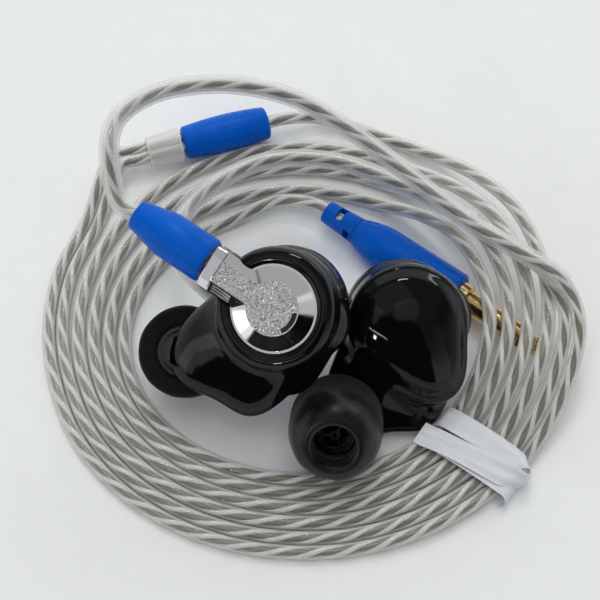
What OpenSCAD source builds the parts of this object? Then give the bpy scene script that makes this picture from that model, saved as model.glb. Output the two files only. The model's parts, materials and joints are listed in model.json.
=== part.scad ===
// In ear monitors: two wired earpieces with foam tips, lying inside their own
// coiled cable. Millimetres, +Z up. Each earpiece is drawn in a frame of its own,
// with the middle of the faceplate's outer face at the origin, +Z out of the
// faceplate and +X towards the cable's connector. The right one is the mirror of
// the left one.

/* [Earpiece shell] */
// Radius of the shell's rim at the top
rim_r = 7.3; // [6.9:0.1:7.8]
// Radius of the thickest part of the rim
rim_max_r = 8.2; // [7.9:0.1:8.6]
// Thickness of the shell's wall
shell_wall = 1.0; // [0.8:0.1:1.2]
// Height of the shell below the faceplate
shell_depth = 12.4; // [12.2:0.1:13]
// How far the nozzle lobe stands out from the flange
lobe_reach = 10; // [9.4:0.1:10.4]
// How far the ear side bulges beside the lobe
bulge_reach = 5.2; // [5:0.1:5.4]
// Width of the neck that carries the connector
neck_w = 5.9; // [5.6:0.1:6.2]
// Reach of the neck from the middle of the faceplate to the seam
neck_reach = 8.9; // [8.7:0.1:9.3]
// Length of the cap on the end of the neck
cap_l = 1.8; // [1.2:0.1:2.2]

/* [Faceplate] */
// Radius of the faceplate's disc
plate_r = 5.9; // [5.7:0.1:6.1]
// Thickness of the faceplate at its edge
plate_edge_t = 0.5; // [0.4:0.1:0.8]
// Height of the bevel round the flat
bevel_h = 0.6; // [0.4:0.1:0.8]
// Radius of the flat in the middle
flat_r = 3.6; // [3:0.1:4.2]
// Width of the flat strip along the neck
strip_w = 3.4; // [2.8:0.1:4]
// Width of the step round the bevel
step_w = 0.3; // [0.2:0.05:0.5]
// Width of each groove on the neck's bevel
groove_w = 0.2; // [0.12:0.02:0.24]
// Number of grooves on the neck's bevel
groove_count = 3; // [1:1:3]

/* [Nozzle and foam tip] */
// Outer radius of the nozzle
nozzle_r = 2.6; // [2.4:0.05:2.75]
// Wall of the nozzle
nozzle_wall = 0.5; // [0.4:0.05:0.7]
// Length of the nozzle outside the lobe
nozzle_l = 8.5; // [8:0.1:9.5]
// How far the nozzle's lip stands out
lip_h = 0.25; // [0.1:0.05:0.3]
// Lean of the nozzle away from the faceplate's axis, in degrees
nozzle_lean = 12; // [8:1:14]
// Outer radius of the foam tip
foam_r = 6.5; // [5.5:0.1:6.8]
// Length of the foam tip
foam_l = 11; // [10:0.1:12]
// Rounding of the foam tip's front edge
foam_round = 2.2; // [1:0.1:3]
// Wall of the tube inside the foam tip
core_wall = 0.6; // [0.4:0.05:0.8]
// Spokes in the nozzle's outlet
spoke_count = 3; // [3:1:6]

/* [Connector] */
// Outer radius of the plug's barrel
plug_r = 1.55; // [1.4:0.01:1.6]
// Wall of the plug's barrel
plug_wall = 0.35; // [0.25:0.05:0.4]
// Reach of the plug into the socket
plug_reach = 4.0; // [3.6:0.1:4.4]
// Radius of the centre pin
pin_r = 0.3; // [0.2:0.05:0.4]
// Wall of the socket's barrel
socket_wall = 0.25; // [0.15:0.05:0.3]
// Depth of the connector's axis under the faceplate
connector_depth = 3.0; // [3:0.05:3.2]

/* [Boot] */
// Radius of the boot's wide end
boot_r = 3.2; // [2.9:0.1:3.4]
// Radius of the boot's narrow end
boot_tip_r = 2.1; // [1.9:0.1:2.3]
// Length of the boot
boot_l = 12; // [10:0.5:13]
// Length of the boot's straight part
boot_straight_l = 7; // [5:0.5:8]
// Gap between the neck's cap and the boot
boot_gap = 0.6; // [0.4:0.1:1]

/* [Cable] */
// Diameter of the main cable
cable_d = 1.7; // [1.5:0.1:1.7]
// Diameter of each lead
lead_d = 1.6; // [1.4:0.1:1.6]
// Outer diameter of the ear guides
guide_d = 2.8; // [2.6:0.1:3.2]
// Diameter of the ear guides' bore
guide_bore_d = 2.0; // [1.95:0.05:2.1]
// Widest inner radius of the coil
coil_a = 25.3; // [25.1:0.1:25.8]
// Narrowest inner radius of the coil
coil_b = 21.8; // [21.6:0.1:22.4]
// Distance between the two leads in the coil
lead_gap = 2.05; // [2.02:0.01:2.3]

/* [Splitter, slider and tie] */
// Radius of the splitter in its middle
splitter_r = 3; // [2.8:0.1:3]
// How much thinner the splitter is at its ends
splitter_crown = 0.45; // [0:0.05:0.6]
// Length of the splitter
splitter_l = 14; // [12:0.5:14.5]
// Length of the chin slider
slider_l = 5.4; // [4:0.1:5.6]
// Radius of the chin slider beside the splitter
slider_r = 2.8; // [2.6:0.1:2.9]
// Radius of the chin slider at its far end
slider_tip_r = 2.35; // [2.3:0.05:2.6]
// Depth of the step along the chin slider
slider_step = 0.9; // [0.3:0.1:0.9]
// Distance of each lead from the splitter's axis
lead_aside = 1.05; // [1:0.05:1.1]
// Width of the cable tie
tie_w = 3.6; // [3:0.1:3.8]
// Thickness of the cable tie
tie_t = 0.3; // [0.25:0.05:0.35]

/* [Jack] */
// Radius of the plug's contacts
jack_r = 1.75; // [1.25:0.25:1.75]
// Length of the plug's contacts
jack_l = 14; // [13:0.5:14]
// Radius of the jack's barrel
barrel_r = 3.3; // [3.2:0.1:3.4]
// Length of the jack's barrel
barrel_l = 18.6; // [17:0.5:18.6]
// Radius of the collar under the contacts
collar_r = 2.4; // [2.2:0.1:2.5]
// Length of the collar
collar_l = 1.6; // [1:0.1:2]
// Radius of the strain relief at its thin end
relief_r = 1.75; // [1.6:0.05:1.9]
// Radius of the strain relief where it meets the barrel
relief_end_r = 2.1; // [2:0.05:2.3]
// Length of the ring at the strain relief's thin end
relief_ring_l = 2; // [1.6:0.1:2.2]
// Width of each row of slots in the strain relief
slot_w = 1.15; // [0.8:0.05:1.2]
// Length of each slot round the strain relief
slot_l = 2.3; // [1.8:0.1:2.4]
// Distance between the two rows of slots
slot_step = 1.1; // [0.8:0.1:1.2]

/* [Hidden] */
$fn = 48;

SIDE_NODES = ["shell", "faceplate", "connector_cap", "socket_barrel", "socket_insulator",
    "socket_contact", "nozzle", "nozzle_grille", "dynamic_driver", "driver_diaphragm",
    "armature_driver", "sound_tube", "crossover_board", "tip_core", "tip_foam", "boot",
    "plug_barrel", "plug_insulator", "plug_pin", "snap_ring", "ear_guide", "lead"];
COMMON_NODES = ["main_cable", "splitter", "slider", "cable_tie", "jack_barrel",
    "jack_strain_relief", "jack_collar", "jack_sleeve", "jack_ring", "jack_tip",
    "jack_insulators"];

// Clearances: a fixed fit, a running fit, parts that only stand beside each
// other, and a cut that runs past its part.
touch_gap = 0.01;
fit_gap = 0.05;
seat_gap = 0.1;
cut = 1;

// Where the earpieces lie, and the middle of their footprint.
footprint = [0.7, -14.4, 0];
left_at = [-3.65, -13.3, 24.68];
left_turn = [-34.9, -6.0, 145.4];
right_at = [14.45, -4.0, 7.04];
right_turn = [141.2, -2.6, -179.6];

// Turning a point the way rotate() does.
function about_x(v, a) = [v.x, v.y * cos(a) - v.z * sin(a), v.y * sin(a) + v.z * cos(a)];
function about_y(v, a) = [v.x * cos(a) + v.z * sin(a), v.y, v.z * cos(a) - v.x * sin(a)];
function about_z(v, a) = [v.x * cos(a) - v.y * sin(a), v.x * sin(a) + v.y * cos(a), v.z];
function turned(v, turn) = about_z(about_y(about_x(v, turn.x), turn.y), turn.z);

module at_left() { translate(left_at - footprint) rotate(left_turn) children(); }
module at_right() { translate(right_at - footprint) rotate(right_turn) mirror([0, 1, 0]) children(); }

// ---- shell -------------------------------------------------------------

plate_seat = bevel_h + plate_edge_t;
rim_top = 0.2;
flange_r = 8.3;
lobe_angle = 62;
bulge_angle = 104;
heel_angle = 190;
heel_reach = 1.2;
cheek_angle = 122;
cheek_reach = 3.9;

// A round bump of height 1 at the angle "at".
function bump(angle, at, width) = exp(-pow((angle - at) / width, 2));
function flange_bump(angle) = lobe_reach * bump(angle, lobe_angle, 30)
    + bulge_reach * bump(angle, bulge_angle, 20)
    + heel_reach * bump(angle, heel_angle, 28);
function cheek_bump(angle) = cheek_reach * bump(angle, cheek_angle, 30);

// Outside of the shell: depth, round radius, share of the flange's bumps and
// share of the cheek's bump.
outer_levels = [
    [rim_top, rim_r, 0, 0],
    [rim_top + 0.5, (rim_r + rim_max_r) / 2 + 0.2, 0, 0],
    [1.8, rim_max_r, 0.02, 0],
    [3.0, rim_max_r - 0.1, 0.12, 0],
    [3.8, rim_max_r - 0.3, 0.42, 0.05],
    [4.6, rim_max_r - 0.25, 0.78, 0.1],
    [5.4, rim_max_r - 0.1, 0.96, 0.2],
    [6.2, rim_max_r, 1, 0.35],
    [6.8, flange_r, 0.86, 0.5],
    [7.3, flange_r, 0.55, 0.65],
    [8.2, flange_r, 0.25, 0.85],
    [9.2, rim_max_r, 0.05, 1],
    [shell_depth - 2.7, 7.7, 0, 0.95],
    [shell_depth - 1.3, 6.3, 0, 0.75],
    [shell_depth - 0.4, 4.0, 0, 0.4],
    [shell_depth, 1.5, 0, 0.1]
];
// The cavity: the faceplate's seat, the drivers' chamber and its floor.
cavity_floor = shell_depth - shell_wall;
inner_levels = [
    [rim_top, plate_r + seat_gap, 0, 0],
    [plate_seat, plate_r + seat_gap, 0, 0],
    [plate_seat, 5.2, 0, 0],
    [2.1, 5.2, 0, 0],
    [2.8, rim_max_r - shell_wall - 0.3, 0, 0],
    [6.8, flange_r - shell_wall - 0.3, 0, 0.3],
    [9.2, flange_r - shell_wall - 0.3, 0, 0.85],
    [cavity_floor - 1.6, 5.9, 0, 0.75],
    [cavity_floor - 0.6, 4.2, 0, 0.5],
    [cavity_floor, 1.6, 0, 0.1]
];

shell_angles = [for (i = [0 : 47]) i * 7.5];
function bump_angle(angle) = angle > 290 ? angle - 360 : angle;
function level_ring(level) = [for (a = shell_angles)
    let (r = level[1] + level[2] * flange_bump(bump_angle(a)) + level[3] * cheek_bump(bump_angle(a)))
    [r * cos(a), r * sin(a), -level[0]]];

// Triangles between neighbouring rings of "n" points, and a fan over one ring.
function band_faces(n, rows) = [for (j = [0 : rows - 2]) for (i = [0 : n - 1])
    let (a = j * n + i, b = j * n + (i + 1) % n)
    each [[a, a + n, b], [b, a + n, b + n]]];
function cap_faces(first, n) = [for (i = [1 : n - 2]) [first, first + i, first + i + 1]];
function reversed(faces) = [for (f = faces) [f[2], f[1], f[0]]];

// The cup's rings run down the outside, then up the inside from the floor.
module shell_cup() {
    outer = [for (level = outer_levels) level_ring(level)];
    inner = [for (level = inner_levels) level_ring(level)];
    n = len(shell_angles);
    rows_out = len(outer);
    rows_in = len(inner);
    start_in = rows_out * n;
    polyhedron(
        points = [for (ring = concat(outer, inner)) each ring],
        faces = concat(
            reversed(band_faces(n, rows_out)),
            cap_faces((rows_out - 1) * n, n),
            [for (f = band_faces(n, rows_in)) [for (v = f) v + start_in]],
            reversed(cap_faces(start_in + (rows_in - 1) * n, n)),
            [for (i = [0 : n - 1]) let (k = (i + 1) % n)
                each [[k, i, start_in + i], [k, start_in + i, start_in + k]]]),
        convexity = 6);
}

// Section of the neck, across its axis: round below and square above.
module neck_section(half_w, top) {
    circle(r = half_w);
    translate([-half_w, 0]) square([2 * half_w, top]);
}
// Something drawn in XY stands up along the connector's axis from x.
module along_neck(x) {
    translate([x, 0, -connector_depth]) rotate([90, 0, 90]) children();
}

socket_bore_r = plug_r + fit_gap;
socket_r = socket_bore_r + socket_wall;
cap_end = neck_reach + cap_l;
socket_start = cap_end - plug_reach - 1.2;

module shell() {
    color([0.02, 0.02, 0.025]) difference() {
        union() {
            shell_cup();
            along_neck(plate_r + seat_gap + 0.2)
                linear_extrude(neck_reach - plate_r - seat_gap - 0.2)
                    neck_section(neck_w / 2, connector_depth - plate_seat);
        }
        translate([plate_r / 2, -neck_w / 2 - seat_gap, -plate_seat])
            cube([neck_reach, neck_w + 2 * seat_gap, plate_seat + cut]);
        along_neck(socket_start - cut) cylinder(r = socket_r + seat_gap, h = neck_reach);
        at_nozzle(-nozzle_seat) cylinder(r = nozzle_r + seat_gap, h = nozzle_seat + cut + 2);
        sound_bore(sound_tube_r + seat_gap);
    }
}

// ---- faceplate ---------------------------------------------------------

module bevelled_strip(length, bottom_w, top_w) {
    rotate([90, 0, 90]) linear_extrude(length)
        polygon([[-bottom_w / 2, -bevel_h], [bottom_w / 2, -bevel_h], [top_w / 2, 0], [-top_w / 2, 0]]);
}

groove_pitch = (neck_w - strip_w) / 2 / (groove_count + 1);
module faceplate() {
    color([0.86, 0.86, 0.88]) difference() {
        union() {
            translate([0, 0, -plate_seat]) cylinder(r = plate_r, h = plate_edge_t);
            translate([0, -neck_w / 2, -plate_seat]) cube([neck_reach, neck_w, plate_edge_t]);
            translate([0, 0, -bevel_h]) cylinder(r1 = plate_r - step_w, r2 = flat_r, h = bevel_h);
            bevelled_strip(neck_reach, neck_w, strip_w);
        }
        for (i = [1 : groove_count])
            translate([plate_r - 0.6, strip_w / 2 + i * groove_pitch - groove_w / 2, -bevel_h])
                cube([neck_reach - plate_r, groove_w, bevel_h]);
    }
}

module connector_cap() {
    color([0.86, 0.86, 0.88]) difference() {
        union() {
            along_neck(neck_reach + seat_gap / 2) linear_extrude(cap_l - seat_gap / 2)
                neck_section(neck_w / 2, connector_depth - bevel_h);
            translate([neck_reach + seat_gap / 2, 0, 0])
                bevelled_strip(cap_l - seat_gap / 2, neck_w, strip_w);
        }
        along_neck(neck_reach - cut) cylinder(r = socket_r + seat_gap, h = cap_l + 2 * cut);
    }
}

// ---- connector: socket in the neck, plug in the boot --------------------

snap_groove_at = cap_end - plug_reach + 1.0;
snap_groove_w = 0.6;
snap_groove_h = 0.2;
snap_opening = 0.5;
plug_start = cap_end - plug_reach;
pin_start = plug_start - 0.4;
plug_end = cap_end + 3.2;
plug_bore_r = plug_r - plug_wall;
contact_wall = 0.28;

module socket_barrel() {
    color([0.85, 0.68, 0.32]) difference() {
        along_neck(socket_start) cylinder(r = socket_r, h = cap_end - socket_start);
        along_neck(socket_start - cut) cylinder(r = socket_bore_r, h = cap_end - socket_start + 2 * cut);
        along_neck(snap_groove_at - seat_gap)
            cylinder(r = socket_bore_r + snap_groove_h, h = snap_groove_w + 2 * seat_gap);
    }
}
module socket_insulator() {
    color([0.92, 0.92, 0.9]) difference() {
        along_neck(socket_start + seat_gap) cylinder(r = socket_bore_r - touch_gap, h = 0.7);
        along_neck(socket_start - cut) cylinder(r = pin_r + fit_gap + contact_wall + touch_gap, h = 3);
    }
}
module socket_contact() {
    contact_r = pin_r + fit_gap + contact_wall;
    color([0.85, 0.68, 0.32]) difference() {
        along_neck(socket_start - 0.6) cylinder(r = contact_r, h = plug_start - socket_start + 1.2);
        along_neck(socket_start + 0.1) cylinder(r = pin_r + fit_gap, h = 3);
    }
}
module plug_barrel() {
    color([0.75, 0.5, 0.3]) difference() {
        along_neck(plug_start) cylinder(r = plug_r, h = plug_end - plug_start);
        along_neck(plug_start - cut) cylinder(r = plug_bore_r, h = plug_end - plug_start + 2 * cut);
        along_neck(snap_groove_at) difference() {
            cylinder(r = plug_r + cut, h = snap_groove_w);
            translate([0, 0, -cut]) cylinder(r = plug_r - snap_groove_h, h = snap_groove_w + 2 * cut);
        }
    }
}
module plug_insulator() {
    color([0.92, 0.92, 0.9]) difference() {
        along_neck(plug_start + 1.4) cylinder(r = plug_bore_r - touch_gap, h = plug_end - plug_start - 1.6);
        along_neck(plug_start - cut) cylinder(r = pin_r + touch_gap, h = plug_end - plug_start + 2 * cut);
    }
}
module plug_pin() {
    color([0.85, 0.68, 0.32]) along_neck(pin_start) cylinder(r = pin_r, h = plug_end - pin_start);
}
// An open ring, held in the plug's groove, that snaps into the socket's groove.
module snap_ring() {
    ring_w = snap_groove_w - 2 * fit_gap;
    color([0.8, 0.8, 0.8]) difference() {
        along_neck(snap_groove_at + fit_gap) cylinder(r = plug_r + fit_gap / 2, h = ring_w);
        along_neck(snap_groove_at - cut)
            cylinder(r = plug_r - snap_groove_h + fit_gap, h = ring_w + 2 * cut);
        translate([snap_groove_at - cut, -snap_opening / 2, -connector_depth])
            cube([ring_w + 2 * cut, snap_opening, plug_r + cut]);
    }
}

boot_start = cap_end + boot_gap;
boot_end = boot_start + boot_l;
module boot() {
    color([0.05, 0.2, 0.62]) difference() {
        along_neck(boot_start) rotate_extrude()
            polygon([[0, 0], [boot_r - 0.3, 0], [boot_r, 0.5], [boot_r, boot_straight_l],
                [boot_tip_r, boot_l], [0, boot_l]]);
        along_neck(boot_start - cut) cylinder(r = plug_r + touch_gap, h = plug_end - boot_start + cut + 0.1);
        along_neck(boot_start) cylinder(r = guide_d / 2 + touch_gap, h = boot_l + cut);
    }
}

// ---- drivers -----------------------------------------------------------

driver_r = plate_r - 1;
driver_x = -0.6;
driver_top = 3.0;
driver_h = 2.6;
board_t = 0.5;
board_top = driver_top + driver_h + 0.4;
board_size = [8.6, 5.6, board_t];
board_x = driver_x - 4.4;

module dynamic_driver() {
    color([0.7, 0.71, 0.73]) translate([driver_x, 0, -driver_top - driver_h]) union() {
        cylinder(r = driver_r, h = driver_h - 0.8);
        cylinder(r = driver_r - 0.6, h = driver_h);
    }
}
module driver_diaphragm() {
    color([0.3, 0.3, 0.32]) translate([driver_x, 0, -driver_top]) difference() {
        cylinder(r1 = driver_r - 0.9, r2 = driver_r - 1.6, h = 0.5);
        translate([0, 0, -0.1]) cylinder(r1 = driver_r - 1.2, r2 = driver_r - 2.2, h = 0.4);
    }
}
module crossover_board() {
    color([0.1, 0.4, 0.2]) translate([board_x, -board_size.y / 2, -board_top - board_t]) cube(board_size);
}
armature_size = [6, 3.8, 2.6];
armature_at = [driver_x - 2.8, -armature_size.y / 2, -board_top - board_t - 0.3];
spout_l = 0.7;
module armature_driver() {
    color([0.75, 0.76, 0.78]) translate(armature_at - [0, 0, armature_size.z]) union() {
        cube(armature_size);
        translate([armature_size.x, armature_size.y / 2, armature_size.z / 2])
            rotate([0, 90, 0]) cylinder(r = 0.5, h = spout_l);
    }
}

// ---- nozzle and sound tube ---------------------------------------------

nozzle_angle = 59;
nozzle_root = [9.05, 13.15, -6.15];
nozzle_seat = 1.2;
nozzle_bore_r = nozzle_r - nozzle_wall;
sound_tube_r = 1.0;
sound_bore_r = 0.6;
nozzle_turn = [0, 180 - nozzle_lean, nozzle_angle];

// Something drawn standing on XY stands on the nozzle's axis, "from" mm past its root.
module at_nozzle(from) {
    translate(nozzle_root) rotate(nozzle_turn) translate([0, 0, from]) children();
}
function nozzle_point(from) = nozzle_root + turned([0, 0, from], nozzle_turn);

spout_tip = armature_at + [armature_size.x + spout_l, armature_size.y / 2, -armature_size.z / 2];
// The tube runs over the armature's spout, round the board and straight into the nozzle.
sound_elbow = [4.75, 3.9, -7.1];
sound_end = nozzle_point(-0.2);
sound_points = [spout_tip - [0.55, 0, 0], spout_tip + [0.2, 0, 0], spout_tip + [1.05, 0.9, 0.2],
    spout_tip + [1.2, 2.4, 0.6], sound_elbow, sound_end];

// The straight bore round the last stretch of the tube, through the lobe.
module sound_bore(r) {
    span = sound_end - sound_elbow;
    translate(sound_elbow) rotate([0, acos(span.z / norm(span)), atan2(span.y, span.x)])
        cylinder(r = r, h = norm(span) + sound_tube_r);
}
module sound_tube() {
    color([0.8, 0.8, 0.75, 0.6]) swept_pipe(sound_points, 2 * sound_tube_r, 2 * sound_bore_r, 8);
}

lip_l = 0.8;
module nozzle() {
    color([0.8, 0.8, 0.82]) difference() {
        at_nozzle(0) rotate_extrude() polygon([
            [nozzle_bore_r, -nozzle_seat + 0.1], [nozzle_r, -nozzle_seat + 0.1],
            [nozzle_r, nozzle_l - lip_l - 0.5], [nozzle_r + lip_h, nozzle_l - lip_l - 0.25],
            [nozzle_r + lip_h, nozzle_l - 0.25], [nozzle_r, nozzle_l], [nozzle_bore_r, nozzle_l]]);
        sound_bore(sound_tube_r + fit_gap);
    }
}
grille_t = 0.5;
grille_inset = 0.3;
grille_ring_w = 0.35;
hub_r = 0.75;
hub_hole_r = 0.3;
spoke_w = 0.4;
module nozzle_grille() {
    ring_r = nozzle_bore_r - fit_gap / 2;
    color([0.55, 0.55, 0.58]) at_nozzle(nozzle_l - grille_t - grille_inset)
        linear_extrude(grille_t) difference() {
            union() {
                difference() {
                    circle(r = ring_r);
                    circle(r = ring_r - grille_ring_w);
                }
                circle(r = hub_r);
                for (i = [0 : spoke_count - 1]) rotate(i * 360 / spoke_count)
                    translate([0, -spoke_w / 2]) square([ring_r - grille_ring_w / 2, spoke_w]);
            }
            circle(r = hub_hole_r);
        }
}

// ---- foam tip ----------------------------------------------------------

tip_start = 1.1;
core_r = nozzle_r + lip_h + 0.07;
core_l = nozzle_l + 0.6 - tip_start;
foam_bore_r = core_r + core_wall + touch_gap;
foam_mouth_r = 2.9;

module tip_core() {
    color([0.15, 0.15, 0.16]) difference() {
        at_nozzle(tip_start) cylinder(r = core_r + core_wall, h = core_l);
        at_nozzle(tip_start - cut) cylinder(r = core_r, h = core_l + 2 * cut);
    }
}
module tip_foam() {
    color([0.09, 0.09, 0.1]) at_nozzle(tip_start) rotate_extrude() difference() {
        union() {
            square([foam_r - foam_round, foam_l]);
            translate([0, 0.5]) square([foam_r, foam_l - foam_round - 0.5]);
            translate([0, 0]) square([foam_r - 0.5, 1]);
            translate([foam_r - foam_round, foam_l - foam_round]) circle(r = foam_round);
            translate([foam_r - 0.5, 0.5]) circle(r = 0.5);
        }
        translate([-1, -1]) square([foam_bore_r + 1, core_l + 1 + touch_gap]);
        translate([-1, -1]) square([foam_mouth_r + 1, foam_l + 2]);
        translate([-2 * foam_r, -1]) square([2 * foam_r, foam_l + 2]);
    }
}

// ---- the coil and the leads ----------------------------------------------

coil_middle = [-0.05, -4.35];
turn_gap = 0.45;
pitch_least = cable_d + turn_gap;
coil_first = 81;
coil_entry = 120;
coil_turn_steps = 24;
plateau_z = 6.95;
splitter_axis_z = 3.3;

function coil_edge_r(a) = 1 / sqrt(pow(cos(a) / coil_a, 2) + pow(sin(a) / coil_b, 2));
function coil_pitch(a) = max(pitch_least,
    2.87 + 1.04 * sin(a) + 0.255 * cos(a) - 0.3 * cos(2 * a));
function smooth(t) = let (u = max(0, min(1, t))) u * u * (3 - 2 * u);
function wrapped(a) = let (b = a - 360 * floor(a / 360)) b > 180 ? b - 360 : b;
// The strands climb over the jack's plug, and a little over the tie. The climb
// and the fall are given by the angle at their foot and their width in degrees.
climb_foot = -33;
climb_w = 25;
fall_foot = 68;
fall_w = 42;
tie_angle = 49;
tie_clearance = 0.15;
tie_rise_w = 12;
function climb(w) = smooth((w - climb_foot) / climb_w);
function fall(w) = smooth((fall_foot - w) / fall_w);
function over_tie(w) = smooth((tie_rise_w + 10 - abs(w + tie_angle)) / tie_rise_w);
function coil_lift(a, d) = let (w = wrapped(a))
    (plateau_z - d / 2) * climb(w) * fall(w) + (tie_t + tie_clearance) * over_tie(w) * (1 - climb(w));
function coil_point(a, d, aside) = let (
        r = coil_edge_r(a) + coil_pitch(a) * (a - coil_first) / 360 + aside,
        z = d / 2 + coil_lift(a, d))
    [coil_middle.x + r * cos(a), coil_middle.y + r * sin(a), z];

jack_axis_z = barrel_r;
relief_wall = 0.4;
relief_l = relief_ring_l + 2 * slot_w + slot_step + relief_wall;
cable_seat_l = relief_l - 0.2;
jack_from = [4.25, 16.15, jack_axis_z];
jack_heading = -37.8;
function jack_point(from) = jack_from + [from * cos(jack_heading), from * sin(jack_heading), 0];

splitter_from = [-5.25, 33.4, splitter_axis_z];
splitter_heading = 197.3;
function splitter_point(from, aside) = splitter_from
    + [from * cos(splitter_heading) - aside * sin(splitter_heading),
       from * sin(splitter_heading) + aside * cos(splitter_heading), 0];
slider_from = splitter_l + 0.4;
slider_travel = 4;
cord_seat_l = 3;

main_turns = 3.96;
main_last = coil_first + main_turns * 360;
main_points = concat(
    [jack_point(cable_seat_l), jack_point(0), jack_point(-2.2), [-3.2, 18.6, 2.6]],
    [for (a = [coil_entry : 360 / coil_turn_steps : main_last]) coil_point(a, cable_d, 0)],
    [[3.0, 35.2, 2.1], [-1.2, 34.5, 3.1], splitter_point(-2, 0), splitter_point(0, 0),
        splitter_point(cord_seat_l, 0)]);

// Each lead: out of the splitter, straight through the slider, down into the
// coil as one of its two outer strands, and up through its ear guide to the boot.
lead_mitre = 0.55;
lead_turn = 4;
lead_coil_from = lead_turn * 360 + 148;
lead_coil_to = lead_turn * 360 + 348;
// Points where each lead leaves the coil to climb over the main cable.
left_climb = [[39.8, -7.2, 8.9]];
right_climb = [[38.1, -5.0, 8.2], [35.8, 1.2, 9.1], [31.0, 6.2, 9.4]];
function lead_start(aside) = [splitter_point(splitter_l - cord_seat_l, aside),
    splitter_point(splitter_l, aside),
    splitter_point(slider_from + slider_l, aside),
    splitter_point(slider_from + slider_l + slider_travel + 1 - lead_mitre * aside, aside)];
function lead_coil(aside) = [for (a = [lead_coil_from : 360 / coil_turn_steps : lead_coil_to])
    coil_point(a, lead_d, aside)];

// Hand-set points of the ear guides, from the coil to the boots.
left_guide_points = [[37.8, -1.6, 11.6], [31.4, 2.4, 13.6], [24.4, 6.4, 15.2], [14.7, 14.0, 17.6],
    [7.2, 19.4, 19.8], [0, 22.7, 22.4], [-7.2, 23.4, 24.7], [-14.2, 22.2, 26.6], [-20.8, 19.2, 28.1],
    [-25.2, 14.6, 28.6], [-26.0, 9.4, 28.2]];
right_guide_points = [[25.8, 10.2, 9.7], [20.6, 13.6, 9.6], [14.2, 17.6, 9.3], [5.4, 21.6, 9.0],
    [-4.6, 21.8, 9.0], [-12.6, 17.0, 9.6], [-17.2, 10.8, 10.2], [-18.0, 5.2, 10.7], [-15.8, 0.6, 10.9],
    [-12.4, -2.9, 10.3]];
function boot_point(at, turn, x) = at + turned([x, 0, -connector_depth], turn);
left_boot_points = [for (x = [boot_end + 3, boot_end, boot_end - 2.5]) boot_point(left_at, left_turn, x)];
right_boot_points = [for (x = [boot_end + 1, boot_end, boot_end - 2.5]) boot_point(right_at, right_turn, x)];

left_lead_points = concat(lead_start(-lead_aside), lead_coil(lead_gap), left_climb,
    left_guide_points, left_boot_points);
right_lead_points = concat(lead_start(lead_aside), lead_coil(0), right_climb,
    right_guide_points, right_boot_points);

// Rings of "sides" corners, one at each point of a route, square to the route.
function unit(v) = v / norm(v);
function heading(points, i) = unit(points[min(i + 1, len(points) - 1)] - points[max(i - 1, 0)]);
function tube_ring(p, along, r, sides) = let (
        side = unit(cross(along, [0, 0, 1])),
        up = cross(side, along))
    [for (k = [0 : sides - 1]) let (a = (k + 0.5) * 360 / sides)
        p + r * (cos(a) * side + sin(a) * up)];
function tube_rings(points, d, sides) = [for (i = [0 : len(points) - 1])
    each tube_ring(points[i], heading(points, i), d / 2, sides)];

module swept_tube(points, d, sides) {
    n = len(points);
    polyhedron(
        points = tube_rings(points, d, sides),
        faces = concat(reversed(band_faces(sides, n)), reversed(cap_faces(0, sides)),
            cap_faces((n - 1) * sides, sides)),
        convexity = 10);
}
module swept_pipe(points, d, bore_d, sides) {
    n = len(points);
    start_in = n * sides;
    last = (n - 1) * sides;
    polyhedron(
        points = concat(tube_rings(points, d, sides), tube_rings(points, bore_d, sides)),
        faces = concat(reversed(band_faces(sides, n)),
            [for (f = band_faces(sides, n)) [for (v = f) v + start_in]],
            [for (i = [0 : sides - 1]) let (k = (i + 1) % sides)
                each [[k, i, start_in + i], [k, start_in + i, start_in + k],
                    [last + i, last + k, start_in + last + k],
                    [last + i, start_in + last + k, start_in + last + i]]]),
        convexity = 10);
}

module cable(points, d, sides) {
    color([0.75, 0.74, 0.68]) translate(-footprint) swept_tube(points, d, sides);
}
module ear_guide(guide_points, boot_points) {
    color([0.85, 0.87, 0.88, 0.5]) translate(-footprint)
        swept_pipe(concat(guide_points, [boot_points[0], boot_points[1]]), guide_d, guide_bore_d, 8);
}

// Least gap of the coil to itself, taken between points more than half a turn apart.
coil_only = [for (a = [coil_entry : 5 : main_last]) coil_point(a, cable_d, 0)];
coil_gap = min([for (i = [0 : len(coil_only) - 37]) for (j = [i + 36 : len(coil_only) - 1])
    norm(coil_only[i] - coil_only[j])]) - cable_d;
echo(coil_gap = coil_gap);

// ---- splitter, slider and tie ------------------------------------------

// Something drawn standing on XY lies along the splitter's axis.
module at_splitter(from) {
    translate(splitter_point(from, 0) - footprint) rotate([0, 90, splitter_heading]) children();
}
splitter_steps = 8;
splitter_edge = 0.35;
function crowned_r(x) = splitter_r - splitter_crown * pow(2 * x / splitter_l - 1, 2);
module splitter() {
    color([0.05, 0.2, 0.62]) difference() {
        at_splitter(0) rotate_extrude() polygon(concat(
            [[0, 0], [crowned_r(0) - splitter_edge, 0]],
            [for (i = [0 : splitter_steps])
                let (x = splitter_edge + i * (splitter_l - 2 * splitter_edge) / splitter_steps)
                [crowned_r(x), x]],
            [[crowned_r(splitter_l) - splitter_edge, splitter_l], [0, splitter_l]]));
        at_splitter(-cut) cylinder(r = cable_d / 2 + touch_gap, h = cord_seat_l + seat_gap + cut);
        for (side = [-1, 1]) translate(splitter_point(0, side * lead_aside) - splitter_point(0, 0))
            at_splitter(splitter_l - cord_seat_l - seat_gap)
                cylinder(r = lead_d / 2 + touch_gap, h = cord_seat_l + seat_gap + cut);
    }
}
slider_edge = 0.2;
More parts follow.
